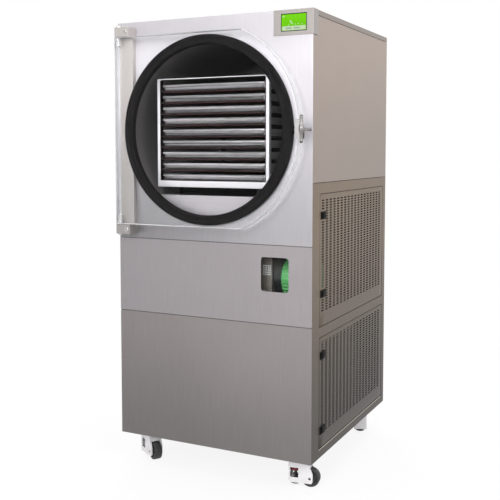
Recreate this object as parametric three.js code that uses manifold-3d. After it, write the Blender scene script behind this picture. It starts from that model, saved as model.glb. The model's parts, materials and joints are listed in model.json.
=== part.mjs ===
// A floor-standing freeze dryer, in millimetres, +Z up, with its front facing -Y.
// While it is being built, x = 0 is the cabinet's middle, y = 0 its front face and z = 0 the floor.

import * as THREE from 'three';
import { mergeVertices } from 'three/addons/utils/BufferGeometryUtils.js';
import Module from 'manifold-3d';

const wasm = await Module();
wasm.setup();

// ---- Driving dimensions: cabinet ----
const cabinetWidth = 732;
const cabinetDepth = 770;
const cabinetHeight = 1450;
const groundClearance = 106; // floor to the cabinet's underside
const sideSheet = 2;
const frontPlate = 3;
const coverLip = 17;
const frontSeam = 2; // gap between two front plates
const sideSeam = 1.5; // gap between two side sheets
const middleSeamHeight = 704; // above the cabinet's underside, as are all heights below
const lowerSeamHeight = 445;
const sideSeamHeight = 905;
const fitGap = 0.3; // between fixed pieces that lie against each other
const cutOver = 1; // how far a cutting shape reaches past the faces it cuts
const quarterTurn = 90; // degrees
const halfTurn = 2 * quarterTurn;

// ---- Frame ----
const postAlong = 26;
const postAcross = 18;
const frameSteel = 2.5;
const railHeight = 28;
const basePlate = 5;
const shelfGap = 8.5; // lower vent's lining to the shelf above it
const shelfSteel = 4;
const portalSteel = 8;
const portalLeg = 40;
const portalBeam = 60;
const portalInset = 20; // side sheet to a portal's leg
const portalFronts = [240, 520];
const casterPlate = 90;
const casterPlateSteel = 8;

// ---- Vent doors on the right side ----
const frontPost = 64;
const rearPost = 35;
const lowerVent = { bottom: 31, top: 401.5 };
const upperVent = { bottom: 435, top: 870 };
const frameFold = 20;
const foldSteel = 2;
const ventGap = 1.5;
const ventHingeGap = 3.5;
const ventFold = 14;
const ventMarginSide = 10;
const ventMarginTop = 9;
const ventMarginBottom = 46;
const slotColumns = 2;
const slotPitch = 12;
const slotHeight = 6;
const slotRib = 12;
const pivotInset = 7; // door edge and outer face to the pivot's axis
const pivotRadius = 2.5;
const pivotClearance = 0.4;
const pivotStub = 6;

// ---- Latches ----
const latchLength = 42;
const latchHeight = 25;
const latchProud = 3;
const latchNeckLength = 14;
const latchNeckHeight = 12;
const latchTravel = 6;
const latchTongue = 4;
const latchTongueHeight = 16;
const latchClearance = 0.4;
const latchEdge = 2; // door edge to the latch's plate
const latchGripStart = 8;
const latchGripLength = 11;
const latchGripHeight = 18;
const latchTongueGap = 0.8; // opening's fold to the tongue behind it
const upperLatchDrop = 71;
const upperLatchRise = 108;
const lowerLatchDrop = 62;
const lowerLatchRise = 59;

// ---- Vacuum chamber ----
const chamberX = -10;
const chamberDrop = 375; // cabinet's top to the chamber's axis
const chamberRadius = 296;
const chamberWall = 5;
const chamberLength = 600;
const rimProud = 10;
const plateHoleGap = 2;
const portRadius = 18;
const portWall = 3;
const portLength = 26;
const portDrop = 200;
const gasketInner = 282;
const gasketOuter = 315;
const gasketFace = 22;
const gasketRound = 5;
const gasketBackGap = 1; // front plate to the gasket
const gasketTab = 16;
const gasketTabHeight = 24;
const chamberSides = 60;

// ---- Chamber door ----
const doorThickness = 30;
const doorHalfHeight = 320;
const doorRadius = 352;
const doorLeft = -352;
const hingeBarWidth = 56;
const hingeBarThickness = 18;
const hingeBarOverhang = 34; // beyond the door at each end
const hingeBarRingGap = 1;
const hingeBarInset = 6; // door's hinge side to the bar's edge
const lugGap = 1; // hinge bar's lug to the door's end
const lugSetback = 2; // lug's front behind the door's front
const hingePinRadius = 6;
const hingePinClearance = 0.4;
const hingePinDepth = 30;
const hingePinEndGap = 1; // pin's tip to the bottom of its hole in the door
const hingePinHead = 9;
const hingePinHeadHeight = 4;
const strikeWidth = 19;
const strikeHeight = 62;
const strikeSteel = 3;
const strikeOverhang = 5;
const handleOffset = 15; // door edge to the handle's spindle
const handleBarRadius = 5.5;
const handleBarLength = 86;
const handleTip = 4.4; // bar's radius at its very ends
const handleTaper = 4;
const handleHubRadius = 8.5;
const handleHubCore = 6; // half the hub's straight part
const handleHubHalf = 14; // half the hub with its shoulders
const handleStandoff = 70;
const spindleRadius = 5;
const spindleCollar = 9;
const spindleInside = 9;
const spindleClearance = 0.4;
const fingerLength = 30;
const fingerWidth = 12;
const fingerThickness = 5;
const fingerGap = 0.7;

// ---- Rack and trays ----
const rackWidth = 426;
const rackDepth = 480;
const rackFront = 31;
const rackWallGap = 10; // rack's lower corners to the chamber's wall
const rackTopDrop = 11.8; // rack's top, below where its lower corners mirror to
const rackPostWidth = 13;
const rackPostDepth = 18;
const rackSill = 23;
const rackSillSteel = 2;
const rackTopSteel = 3;
const trayCount = 9;
const shelfPlate = 4;
const shelfSetback = 2; // rack's front to a shelf's front
const shelfSideInset = 1;
const trayWall = 1.2;
const trayHeight = 20;
const traySideGap = 3;
const trayCorner = 8;
const trayEndGap = 8;
const rackLeg = 24;
const rackLegInset = 40;
const rackLegHeight = 27; // floor plate to the rack's underside
const floorPlateSteel = 2.5;
const floorPlateFront = 22;
const floorPlateBack = 580;

// ---- Controls ----
const bezelWidth = 134;
const bezelHeight = 80;
const bezelReturn = 40;
const bezelSteel = 2.2;
const screenWidth = 87;
const screenHeight = 54;
const screenSide = 21.5; // cabinet's side to the screen
const screenTop = 13;
const screenDepth = 24;
const screenGap = 0.5;
const windowWidth = 98;
const windowHeight = 112;
const windowInset = 130; // cabinet's right side to the window's middle
const windowBottom = 552;
const windowCorner = 10;
const paneThickness = 3;
const paneOverlap = 10;

// ---- Machinery ----
const coilTurns = 2;
const coilSides = 20;
const coilTube = 6;
const coilFront = 265;
const coilBack = 505;
const compressorRadius = 95;
const compressorHeight = 300;
const compressorInset = 176; // cabinet's left side to the compressor's axis
const compressorBackInset = 370; // cabinet's back to the compressor's axis
const compressorFoot = 12;
const compressorDome = 57; // height of its rounded top
const compressorMountWidth = 95;
const compressorMountHeight = 20;
const condenserDepth = 60;
const condenserWidth = 360;
const condenserHeight = 350;
const condenserFront = 180;
const condenserInset = 44; // side sheet to the condenser
const condenserFins = 16;
const finSteel = 3;
const finTray = 14;
const shroudDepth = 30;
const shroudWall = 3;
const spiderLap = 5; // how far the spider's arms reach into the shroud
const spiderHub = 24;
const fanRadius = 145;
const fanHub = 34;
const fanBlades = 5;
const fanBladeWidth = 16; // along the shaft
const fanBladeChord = 40;
const fanBladePitch = 20; // degrees
const fanBladeRoot = 24; // shaft to a blade's root inside the hub
const fanBladeSteel = 3;
const fanTipGap = 5;
const fanShaft = 4;
const fanShaftGap = 0.4;
const pumpInset = 33.7; // cabinet's right side to the motor's end
const pumpFront = 60;
const pumpLength = 180;
const pumpWidth = 150;
const pumpHeight = 244;
const pumpCorner = 14;
const pumpFootHeight = 14;
const pumpFootLength = 56;
const pumpPort = 14; // inlet port above the pump's top
const motorDrop = 6; // pump's top to the motor's
const motorRadius = 70;
const motorLength = 132;
const motorCover = 40;
const motorFin = 6;
const pipeRadius = 13;
const pipeClearance = 7;
const pipeTurnStart = 6; // bends between the long run's end and the pump's middle
const boxWidth = 250;
const boxDepth = 120;
const boxHeight = 230;
const boxInset = 36; // cabinet's left side to the control box
const boxFront = 60;
const inletWidth = 48;
const inletHeight = 28;
const inletInset = 116; // cabinet's left side to the inlet's middle
const inletZ = 150;
const inletFlange = 6;
const inletWall = 4;
const grilleSlots = 10;
const grillePitch = 20;
const grilleSlotHeight = 8;
const grilleSlotWidth = 220;
const grilleRib = 30;
const grilleBottom = 200;

// ---- Casters ----
const casterSideInset = 70;
const casterEndInset = 84;
const wheelRadius = 31.5;
const wheelWidth = 28;
const wheelRound = 3;
const wheelSides = 24;
const wheelTrail = 34;
const wheelGap = 2.5;
const axleRadius = 4;
const axleClearance = 0.4;
const cheek = 7;
const housingBack = 38;
const housingBottom = 15;
const housingEdge = 3; // bevel at the lower back
const housingNose = 10; // beyond the axle
const housingToe = 4;
const housingToeHeight = 6;
const housingNoseTop = 47.5;
const housingBrow = 8; // front of the flat top, behind the axle
const housingCrown = 10;
const housingCrownHeight = 12;
const swivelBevel = 5;
const swivelBevelHeight = 2;
const swivelRadius = 34;
const swivelHeight = 9;
const swivelPost = 7;
const swivelPostLength = 5;
const footOffset = 18;
const footRadius = 16.5;
const footHeight = 16;
const footLift = 8; // floor to the raised foot
const footStem = 5;
const footBevel = 4;
const footTail = 8;
const thumbRadius = 18;
const thumbHeight = 10;
const thumbZ = 52;
const footClearance = 1;
const footHeadroom = 4; // thumbwheel's top to the top of its space
const footTailRoom = 2;
const footWindowSill = 8; // raised pad's top to the window
const footWindowHead = 3;
const footWindowSide = 4; // thumbwheel's edge to the window's
const stemClearance = 0.4;
const casterTurns = [58, 100, -5, 205]; // front left, front right, rear left, rear right, in degrees

// ---- Places worked out from the dimensions ----
const halfWidth = cabinetWidth / 2;
const base = groundClearance; // z of the cabinet's underside
const top = base + cabinetHeight;
const innerX = halfWidth - sideSheet - fitGap; // frame's outside, left and right
const innerFront = frontPlate + fitGap;
const innerBack = cabinetDepth - sideSheet - fitGap;
const shelfTop = base + lowerVent.top + foldSteel + shelfGap + shelfSteel;
const chamberZ = top - chamberDrop;
const chamberOuter = chamberRadius + chamberWall;
const doorBackY = -gasketFace - fitGap;
const doorFrontY = doorBackY - doorThickness;
const pinX = doorLeft + doorThickness / 2;
const pinY = (doorFrontY + doorBackY) / 2;
const handleX = chamberX + doorRadius + handleOffset;
const strikeFrontY = doorFrontY - fitGap - strikeSteel;
const spindleEnd = innerFront + spindleInside;
const rackLeft = chamberX - rackWidth / 2;
const rackRight = chamberX + rackWidth / 2;
const rackReach = Math.sqrt((chamberRadius - rackWallGap) ** 2 - (rackWidth / 2) ** 2);
const rackBottom = chamberZ - rackReach;
const rackTop = chamberZ + rackReach - rackTopDrop;
const trayPitch = (rackTop - rackTopSteel - rackBottom - rackSill) / trayCount;
const floorPlateTop = rackBottom - rackLegHeight;
const ventFrontY = frontPost;
const ventBackY = cabinetDepth - rearPost;
const windowX = halfWidth - windowInset;
const pumpLeft = halfWidth - pumpInset - motorLength - fitGap - pumpLength;
const boxLeft = boxInset - halfWidth;
const inletX = inletInset - halfWidth;
const compressorX = compressorInset - halfWidth;
const compressorY = cabinetDepth - compressorBackInset;
const pumpTop = shelfTop + pumpHeight;
const motorY = pumpFront + pumpWidth / 2;
const motorZ = pumpTop - motorRadius - motorDrop;

// ---- Materials ----
function finish(color, roughness, metalness) {
  return new THREE.MeshStandardMaterial({ color, roughness, metalness });
}

const brushedSteel = finish(0xbdb7ba, 0.35, 1.0);
const polishedSteel = finish(0xd6d6d8, 0.15, 1.0);
const warmSteel = finish(0xb0a498, 0.45, 0.9);
const frameSteelFinish = finish(0x8a8c90, 0.5, 0.9);
const blackRubber = finish(0x262224, 0.75, 0.0);
const blackPlastic = finish(0x1c1c1e, 0.5, 0.0);
const clearAcrylic = finish(0xe8f0f2, 0.05, 0.0);
const copper = finish(0xb4693c, 0.35, 1.0);
const blackPaint = finish(0x1f2124, 0.4, 0.2);
const greenPaint = finish(0x1f8f3a, 0.4, 0.1);
const screenGreen = finish(0x6cd80a, 0.2, 0.0);
const ivoryPaint = finish(0xe6e2da, 0.45, 0.1);
const tyreBlack = finish(0x202022, 0.7, 0.0);
const thumbRed = finish(0xa02030, 0.5, 0.0);
const finAluminium = finish(0xa8acb0, 0.4, 0.9);
const boxGrey = finish(0xb8bcbe, 0.6, 0.1);

// ---- Solids ----
// A closed three.js geometry as a solid, with its faces pointing out.
function toSolid(geometry) {
  geometry.deleteAttribute('normal');
  geometry.deleteAttribute('uv');
  const merged = mergeVertices(geometry, 1e-4);
  const corners = merged.index.array;
  const triVerts = [];
  for (let i = 0; i < corners.length; i += 3) {
    const [a, b, c] = [corners[i], corners[i + 1], corners[i + 2]];
    if (a !== b && b !== c && c !== a) triVerts.push(a, b, c);
  }
  const vertProperties = new Float32Array(merged.attributes.position.array);
  const build = (order) => new wasm.Manifold(
    new wasm.Mesh({ numProp: 3, vertProperties, triVerts: new Uint32Array(order) }));
  const solid = build(triVerts);
  return solid.volume() < 0 ? build(triVerts.reverse()) : solid;
}

function block(x0, x1, y0, y1, z0, z1) {
  const geometry = new THREE.BoxGeometry(x1 - x0, y1 - y0, z1 - z0);
  geometry.translate((x0 + x1) / 2, (y0 + y1) / 2, (z0 + z1) / 2);
  return toSolid(geometry);
}

// A profile of [radius, height] points turned about the Z axis; its ends lie on the axis or meet.
function turned(points, sides = 20) {
  const profile = points.map(([radius, height]) => new THREE.Vector2(radius, height));
  const geometry = new THREE.LatheGeometry(profile, sides);
  geometry.rotateX(Math.PI / 2);
  return geometry;
}

// Turns a geometry built along +Z so that it runs along the given axis.
function along(axis, geometry) {
  if (axis === 'x') geometry.rotateY(Math.PI / 2);
  if (axis === 'y') geometry.rotateX(-Math.PI / 2);
  return geometry;
}

// A round bar from start to end along one axis, centred on (x, y, z) in the other two.
function bar(axis, radius, start, end, x, y, z, sides = 20) {
  const profile = [[0, start], [radius, start], [radius, end], [0, end]];
  const geometry = along(axis, turned(profile, sides));
  return toSolid(geometry.translate(axis === 'x' ? 0 : x, axis === 'y' ? 0 : y, axis === 'z' ? 0 : z));
}

function roundedRectangle(width, height, radius, steps) {
  const shape = new THREE.Shape();
  const [w, h] = [width / 2, height / 2];
  const corners = [[w - radius, h - radius, 0], [radius - w, h - radius, quarterTurn],
    [radius - w, radius - h, halfTurn], [w - radius, radius - h, halfTurn + quarterTurn]];
  const points = [];
  for (const [x, y, startAngle] of corners) {
    for (let i = 0; i <= steps; i += 1) {
      const angle = THREE.MathUtils.degToRad(startAngle + (quarterTurn * i) / steps);
      points.push(new THREE.Vector2(x + radius * Math.cos(angle), y + radius * Math.sin(angle)));
    }
  }
  return shape.setFromPoints(points);
}

// A flat shape drawn in X and Y, raised from z = 0 by depth.
function raised(shape, depth, steps = 12) {
  return new THREE.ExtrudeGeometry(shape, { depth, bevelEnabled: false, curveSegments: steps });
}

// The same, with the shape standing in X and Z and its thickness running along Y from y0.
function standing(shape, y0, y1, x, z, steps = 12) {
  const geometry = raised(shape, y1 - y0, steps);
  geometry.rotateX(Math.PI / 2);
  return toSolid(geometry.translate(x, y1, z));
}

const join = (...solids) => wasm.Manifold.union(solids);
const cut = (solid, ...tools) => solid.subtract(join(...tools));

const model = new THREE.Group();

function addMesh(name, shape, material, parent = model) {
  let geometry = shape;
  if (!shape.isBufferGeometry) {
    const { vertProperties, triVerts } = shape.getMesh();
    geometry = new THREE.BufferGeometry();
    geometry.setAttribute('position', new THREE.BufferAttribute(new Float32Array(vertProperties), 3));
    geometry.setIndex(new THREE.BufferAttribute(new Uint32Array(triVerts), 1));
  }
  const mesh = new THREE.Mesh(geometry, material);
  mesh.name = name;
  parent.add(mesh);
  return mesh;
}

// ---- Frame and sheets ----
// The positions of the four casters, in the order of casterTurns.
function casterPlaces() {
  const places = [];
  for (const y of [casterEndInset, cabinetDepth - casterEndInset]) {
    for (const side of [-1, 1]) places.push([side * (halfWidth - casterSideInset), y]);
  }
  return places;
}

function cornerPost(side, atFront) {
  const outer = side * innerX;
  const y = atFront ? innerFront : innerBack;
  const inward = atFront ? 1 : -1;
  const [z0, z1] = [base + basePlate / 2, top - sideSheet - fitGap];
  const span = (a, b) => [Math.min(a, b), Math.max(a, b)];
  return join(
    block(...span(outer, outer - side * frameSteel), ...span(y, y + inward * postAlong), z0, z1),
    block(...span(outer, outer - side * postAcross), ...span(y, y + inward * frameSteel), z0, z1));
}

function crossRails() {
  const railTop = top - sideSheet - fitGap;
  const bezelClear = halfWidth - bezelWidth - railHeight;
  const seamRail = (height) => block(-innerX, innerX, innerFront, innerFront + frameSteel,
    base + height - railHeight / 2, base + height + railHeight / 2);
  return join(
    seamRail(middleSeamHeight),
    seamRail(lowerSeamHeight),
    block(-innerX, bezelClear, innerFront, innerFront + frameSteel, railTop - railHeight, railTop),
    block(-innerX, innerX, innerBack - frameSteel, innerBack, railTop - railHeight, railTop),
    block(-innerX, frameSteel - innerX, innerFront, innerBack, railTop - railHeight, railTop),
    block(innerX - frameSteel, innerX, innerFront, innerBack, railTop - railHeight, railTop));
}

// A portal that stands on the shelf and carries the chamber on its arched beam.
function chamberPortal(front) {
  const legX = halfWidth - portalInset;
  const beamTop = chamberZ - chamberOuter + portalBeam;
  const opening = chamberZ - chamberOuter - portalBeam / 2;
  const frame = block(-legX, legX, front, front + portalSteel, shelfTop - shelfSteel / 2, beamTop);
  const back = front + portalSteel;
  return cut(frame,
    block(portalLeg - legX, legX - portalLeg, front - cutOver, back + cutOver, shelfTop, opening),
    bar('y', chamberOuter + fitGap, front - cutOver, back + cutOver, chamberX, 0, chamberZ,
      chamberSides));
}

function baseFrame() {
  const half = casterPlate / 2;
  const casterPlates = casterPlaces().map(([x, y]) => cut(
    block(x - half, x + half, y - half, y + half, base - casterPlateSteel, base + basePlate / 2),
    bar('z', swivelPost + fitGap, base - casterPlateSteel - cutOver,
      base - casterPlateSteel + swivelPostLength + fitGap, x, y, 0)));
  const frame = join(
    block(-innerX, innerX, innerFront, innerBack, base, base + basePlate),
    block(-innerX, innerX, innerFront, innerBack, shelfTop - shelfSteel, shelfTop),
    cornerPost(-1, true), cornerPost(1, true), cornerPost(-1, false), cornerPost(1, false),
    crossRails(),
    ...portalFronts.map(chamberPortal),
    ...casterPlates);
  return cut(frame, bar('y', spindleRadius + spindleClearance, 0, spindleEnd + fitGap,
    handleX, 0, chamberZ));
}

function topCover() {
  const lipBottom = top - coverLip;
  const outside = block(-halfWidth, halfWidth, innerFront, cabinetDepth, lipBottom, top);
  const inside = block(sideSheet - halfWidth, halfWidth - sideSheet, 0,
    cabinetDepth - sideSheet, lipBottom - cutOver, top - sideSheet);
  const bezelNotch = block(halfWidth - sideSheet - cutOver, halfWidth + cutOver, 0,
    bezelReturn + fitGap, lipBottom - cutOver, top - sideSheet);
  return cut(outside, inside, bezelNotch);
}

function upperFrontPlate() {
  const plate = block(-halfWidth, halfWidth, 0, frontPlate,
    base + middleSeamHeight + frontSeam / 2, top);
  const screenRight = halfWidth - screenSide + screenGap;
  return cut(plate,
    bar('y', chamberOuter + plateHoleGap, -cutOver, frontPlate + cutOver, chamberX, 0, chamberZ,
      chamberSides),
    block(screenRight - screenWidth - 2 * screenGap, screenRight, -cutOver, frontPlate + cutOver,
      top - screenTop - screenHeight - screenGap, top - screenTop + screenGap),
    bar('y', spindleRadius + spindleClearance, -cutOver, frontPlate + cutOver, handleX, 0, chamberZ));
}

function middleFrontPanel() {
  const panel = block(-halfWidth, halfWidth, 0, frontPlate,
    base + lowerSeamHeight + frontSeam / 2, base + middleSeamHeight - frontSeam / 2);
  const opening = roundedRectangle(windowWidth, windowHeight, windowCorner, 4);
  return cut(panel, standing(opening, -cutOver, frontPlate + cutOver, windowX,
    base + windowBottom + windowHeight / 2));
}

function sightWindow() {
  const pane = roundedRectangle(windowWidth + 2 * paneOverlap, windowHeight + 2 * paneOverlap,
    windowCorner + paneOverlap, 4);
  return standing(pane, innerFront, innerFront + paneThickness, windowX,
    base + windowBottom + windowHeight / 2);
}

function sideSheetBlock(side, bottom, sheetTop) {
  const inner = halfWidth - sideSheet;
  const [x0, x1] = side < 0 ? [-halfWidth, -inner] : [inner, halfWidth];
  return block(x0, x1, innerFront, innerBack, bottom, sheetTop);
}

function upperSideSheet(side) {
  const sheet = sideSheetBlock(side, base + sideSeamHeight + sideSeam, top - coverLip - sideSeam);
  if (side < 0) return sheet;
  return cut(sheet, block(0, halfWidth + cutOver, 0, bezelReturn + fitGap,
    top - bezelHeight - fitGap, top));
}

// The folded lining of one vent opening, before the opening itself is cut out of it.
function ventLining(vent) {
  const inner = halfWidth - frameFold;
  return block(inner, halfWidth, ventFrontY - foldSteel, ventBackY + foldSteel,
    base + vent.bottom - foldSteel, base + vent.top + foldSteel);
}

function latchHeights(vent, drop, rise) {
  return [base + vent.top - drop, base + vent.bottom + rise];
}

const latchRows = [
  { vent: upperVent, heights: latchHeights(upperVent, upperLatchDrop, upperLatchRise) },
  { vent: lowerVent, heights: latchHeights(lowerVent, lowerLatchDrop, lowerLatchRise) },
];
const tongueOutside = halfWidth - frameFold - latchTongueGap; // outer face of a latch's tongue
const tongueInside = tongueOutside - latchTongue;
const pivotX = halfWidth - pivotInset;
const ventDoorBackY = ventBackY - ventHingeGap;
const pivotY = ventDoorBackY - pivotInset;

function rightDoorFrame() {
  const tools = [];
  const pivotReach = pivotStub + foldSteel;
  for (const vent of [upperVent, lowerVent]) {
    tools.push(block(halfWidth - frameFold - cutOver, halfWidth + cutOver, ventFrontY, ventBackY,
      base + vent.bottom, base + vent.top));
    for (const z of [base + vent.bottom, base + vent.top]) {
      tools.push(bar('z', pivotRadius + pivotClearance, z - pivotReach, z + pivotReach, pivotX, pivotY, 0));
    }
  }
  return cut(join(sideSheetBlock(1, base, base + sideSeamHeight), ventLining(upperVent),
    ventLining(lowerVent)), ...tools);
}

// The slots of a vent door's grille, in rows over its whole field.
function ventSlots(vent) {
  const slots = [];
  const fieldFront = ventFrontY + ventGap + ventMarginSide;
  const fieldBack = ventDoorBackY - ventMarginSide;
  const slotWidth = (fieldBack - fieldFront - slotRib * (slotColumns - 1)) / slotColumns;
  const highest = base + vent.top - ventGap - ventMarginTop;
  const lowest = base + vent.bottom + ventGap + ventMarginBottom;
  const latches = latchRows.find((row) => row.vent === vent).heights;
  const latchBack = ventFrontY + ventGap + latchEdge + latchLength + latchEdge;
  for (let z = highest - slotHeight; z >= lowest; z -= slotPitch) {
    const besideLatch = latches.some((height) => Math.abs(z + slotHeight / 2 - height)
      < (latchHeight + slotHeight) / 2 + latchEdge);
    for (let column = 0; column < slotColumns; column += 1) {
      const start = fieldFront + column * (slotWidth + slotRib);
      const front = besideLatch && column === 0 ? latchBack : start;
      slots.push(block(halfWidth - sideSheet - cutOver, halfWidth + cutOver, front, start + slotWidth,
        z, z + slotHeight));
    }
  }
  return slots;
}

function ventDoor(vent) {
  const [y0, y1] = [ventFrontY + ventGap, ventDoorBackY];
  const [z0, z1] = [base + vent.bottom + ventGap, base + vent.top - ventGap];
  const inner = halfWidth - sideSheet;
  const pan = cut(
    block(halfWidth - ventFold, halfWidth, y0, y1, z0, z1),
    block(halfWidth - ventFold - cutOver, inner, y0 + foldSteel, y1 - foldSteel,
      z0 + foldSteel, z1 - foldSteel),
    ...ventSlots(vent));
  const latchCuts = latchRows.find((row) => row.vent === vent).heights.map((z) => block(
    inner - cutOver, halfWidth + cutOver, neckFront() - latchTravel - latchClearance,
    neckFront() + latchNeckLength + latchClearance,
    z - latchNeckHeight / 2 - latchClearance, z + latchNeckHeight / 2 + latchClearance));
  const pivot = (z, outward) => bar('z', pivotRadius,
    Math.min(z - outward * foldSteel, z + outward * pivotStub),
    Math.max(z - outward * foldSteel, z + outward * pivotStub), pivotX, pivotY, 0, 16);
  return join(cut(pan, ...latchCuts), pivot(z0, -1), pivot(z1, 1));
}

// ---- Latches ----
function latchFront() {
  return ventFrontY + ventGap + latchEdge + latchTravel;
}

function neckFront() {
  return latchFront() + (latchLength - latchNeckLength) / 2;
}

// One latch: a thumb plate outside, a neck through the sheet and a tongue behind it.
function latch(z) {
  const y0 = latchFront();
  const outside = halfWidth + fitGap;
  const plate = block(outside, outside + latchProud, y0, y0 + latchLength,
    z - latchHeight / 2, z + latchHeight / 2);
  const grip = block(outside, outside + 2 * latchProud, y0 + latchGripStart,
    y0 + latchGripStart + latchGripLength, z - latchGripHeight / 2, z + latchGripHeight / 2);
  const neck = block(tongueInside, outside + latchProud / 2, neckFront(), neckFront() + latchNeckLength,
    z - latchNeckHeight / 2, z + latchNeckHeight / 2);
  const tongue = block(tongueInside, tongueOutside, ventFrontY + ventGap + fitGap,
    neckFront() + latchNeckLength, z - latchTongueHeight / 2, z + latchTongueHeight / 2);
  return join(plate, grip, neck, tongue);
}

function backPanel() {
  const panel = block(-halfWidth, halfWidth, cabinetDepth - sideSheet, cabinetDepth, base,
    top - coverLip - sideSeam);
  const slots = [];
  for (let row = 0; row < grilleSlots; row += 1) {
    const z = base + grilleBottom + row * grillePitch;
    for (const x of [-grilleRib / 2 - grilleSlotWidth, grilleRib / 2]) {
      slots.push(block(x, x + grilleSlotWidth, cabinetDepth - sideSheet - cutOver, cabinetDepth + cutOver,
        z, z + grilleSlotHeight));
    }
  }
  const inletHole = block(inletX - inletWidth / 2 - fitGap, inletX + inletWidth / 2 + fitGap,
    cabinetDepth - sideSheet - cutOver, cabinetDepth + cutOver,
    base + inletZ - inletHeight / 2 - fitGap, base + inletZ + inletHeight / 2 + fitGap);
  return cut(panel, inletHole, ...slots);
}

// ---- Chamber ----
function vacuumChamber() {
  const back = chamberLength;
  const shell = along('y', turned([
    [0, back - chamberWall], [chamberRadius, back - chamberWall], [chamberRadius, -rimProud],
    [chamberOuter, -rimProud], [chamberOuter, back], [0, back]], chamberSides));
  const portZ = chamberZ - portDrop;
  const port = bar('y', portRadius + portWall, back - chamberWall / 2, back + portLength,
    chamberX, 0, portZ);
  return cut(join(toSolid(shell.translate(chamberX, 0, chamberZ)), port),
    bar('y', portRadius, back - chamberWall - cutOver, back + portLength + cutOver, chamberX, 0, portZ));
}

// A channel of rubber that slips over the chamber's rim, with a pull tab on its right.
function doorGasket() {
  const slotIn = chamberRadius - fitGap;
  const slotOut = chamberOuter + fitGap;
  const backY = -gasketBackGap;
  const ring = along('y', turned([
    [gasketInner, backY], [gasketInner, gasketRound - gasketFace], [gasketInner + gasketRound, -gasketFace],
    [gasketOuter - gasketRound, -gasketFace], [gasketOuter, gasketRound - gasketFace], [gasketOuter, backY],
    [slotOut, backY], [slotOut, -rimProud - fitGap], [slotIn, -rimProud - fitGap], [slotIn, backY],
    [gasketInner, backY]], chamberSides));
  const half = gasketTabHeight / 2;
  const tab = block(chamberX + gasketOuter - gasketRound * 2, chamberX + gasketOuter + gasketTab,
    gasketRound - gasketFace, backY - 2 * gasketRound, chamberZ - half, chamberZ + half);
  return join(toSolid(ring.translate(chamberX, 0, chamberZ)), tab);
}

// The door: straight at its hinge, top and bottom, round at its free side.
function acrylicDoor() {
  const reach = Math.asin(doorHalfHeight / doorRadius);
  const shape = new THREE.Shape();
  const left = pinX - chamberX;
  shape.moveTo(left, doorHalfHeight);
  shape.lineTo(left, -doorHalfHeight);
  shape.absarc(0, 0, doorRadius, -reach, reach, false);
  shape.closePath();
  const nose = bar('z', doorThickness / 2, chamberZ - doorHalfHeight, chamberZ + doorHalfHeight,
    pinX, pinY, 0, 32);
  const pinHole = (z) => bar('z', hingePinRadius + hingePinClearance,
    z - hingePinDepth - hingePinEndGap, z + hingePinDepth + hingePinEndGap, pinX, pinY, 0);
  return cut(join(standing(shape, doorFrontY, doorBackY, chamberX, chamberZ, 40), nose),
    pinHole(chamberZ - doorHalfHeight), pinHole(chamberZ + doorHalfHeight));
}

function hingeBar() {
  const halfBar = doorHalfHeight + hingeBarOverhang;
  const x0 = doorLeft + hingeBarInset;
  const flat = block(x0, x0 + hingeBarWidth, -hingeBarThickness, -fitGap,
    chamberZ - halfBar, chamberZ + halfBar);
  const lugReach = hingeBarOverhang - lugGap;
  const lug = (end) => {
    const outer = chamberZ + end * halfBar;
    const inner = outer - end * lugReach;
    return block(x0, x0 + hingeBarWidth, doorFrontY + lugSetback, cutOver - hingeBarThickness,
      Math.min(outer, inner), Math.max(outer, inner));
  };
  const pinHole = bar('z', hingePinRadius + fitGap, chamberZ - halfBar - cutOver,
    chamberZ + halfBar + cutOver, pinX, pinY, 0);
  const ringNotch = bar('y', gasketOuter + hingeBarRingGap, -hingeBarThickness - cutOver, 0,
    chamberX, 0, chamberZ, chamberSides);
  return cut(join(flat, lug(1), lug(-1)), pinHole, ringNotch);
}

// A headed pin along Z that runs from its head's outer face into the door.
function hingePin(end) {
  const seat = doorHalfHeight + hingeBarOverhang + fitGap;
  const tip = doorHalfHeight - hingePinDepth;
  const pin = toSolid(turned([[0, tip], [hingePinRadius, tip], [hingePinRadius, seat],
    [hingePinHead, seat], [hingePinHead, seat + hingePinHeadHeight], [0, seat + hingePinHeadHeight]]));
  return (end > 0 ? pin : pin.mirror([0, 0, 1])).translate([pinX, pinY, chamberZ]);
}

function doorStrike() {
  const right = chamberX + doorRadius + strikeOverhang;
  return block(right - strikeWidth, right, strikeFrontY, strikeFrontY + strikeSteel,
    chamberZ - strikeHeight / 2, chamberZ + strikeHeight / 2);
}

// The clamp handle: bar, hub, spindle through the front plate, and the finger behind the bar.
function tHandle() {
  const fingerBack = strikeFrontY - fingerGap;
  const half = handleBarLength / 2;
  const upperHalf = [[handleHubRadius, handleHubCore], [handleBarRadius, handleHubHalf],
    [handleBarRadius, half - handleTaper], [handleTip, half], [0, half]];
  const lowerHalf = upperHalf.map(([radius, z]) => [radius, -z]).reverse();
  const grip = toSolid(turned([...lowerHalf, ...upperHalf], 16)
    .translate(handleX, -handleStandoff, chamberZ));
  return join(
    grip,
    bar('y', spindleRadius, -handleStandoff, spindleEnd, handleX, 0, chamberZ, 16),
    bar('y', spindleCollar, -spindleCollar, -fitGap, handleX, 0, chamberZ, 16),
    block(handleX - fingerWidth / 2, handleX + fingerWidth / 2, fingerBack - fingerThickness, fingerBack,
      chamberZ - fingerLength, chamberZ + fingerWidth / 2));
}

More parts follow.
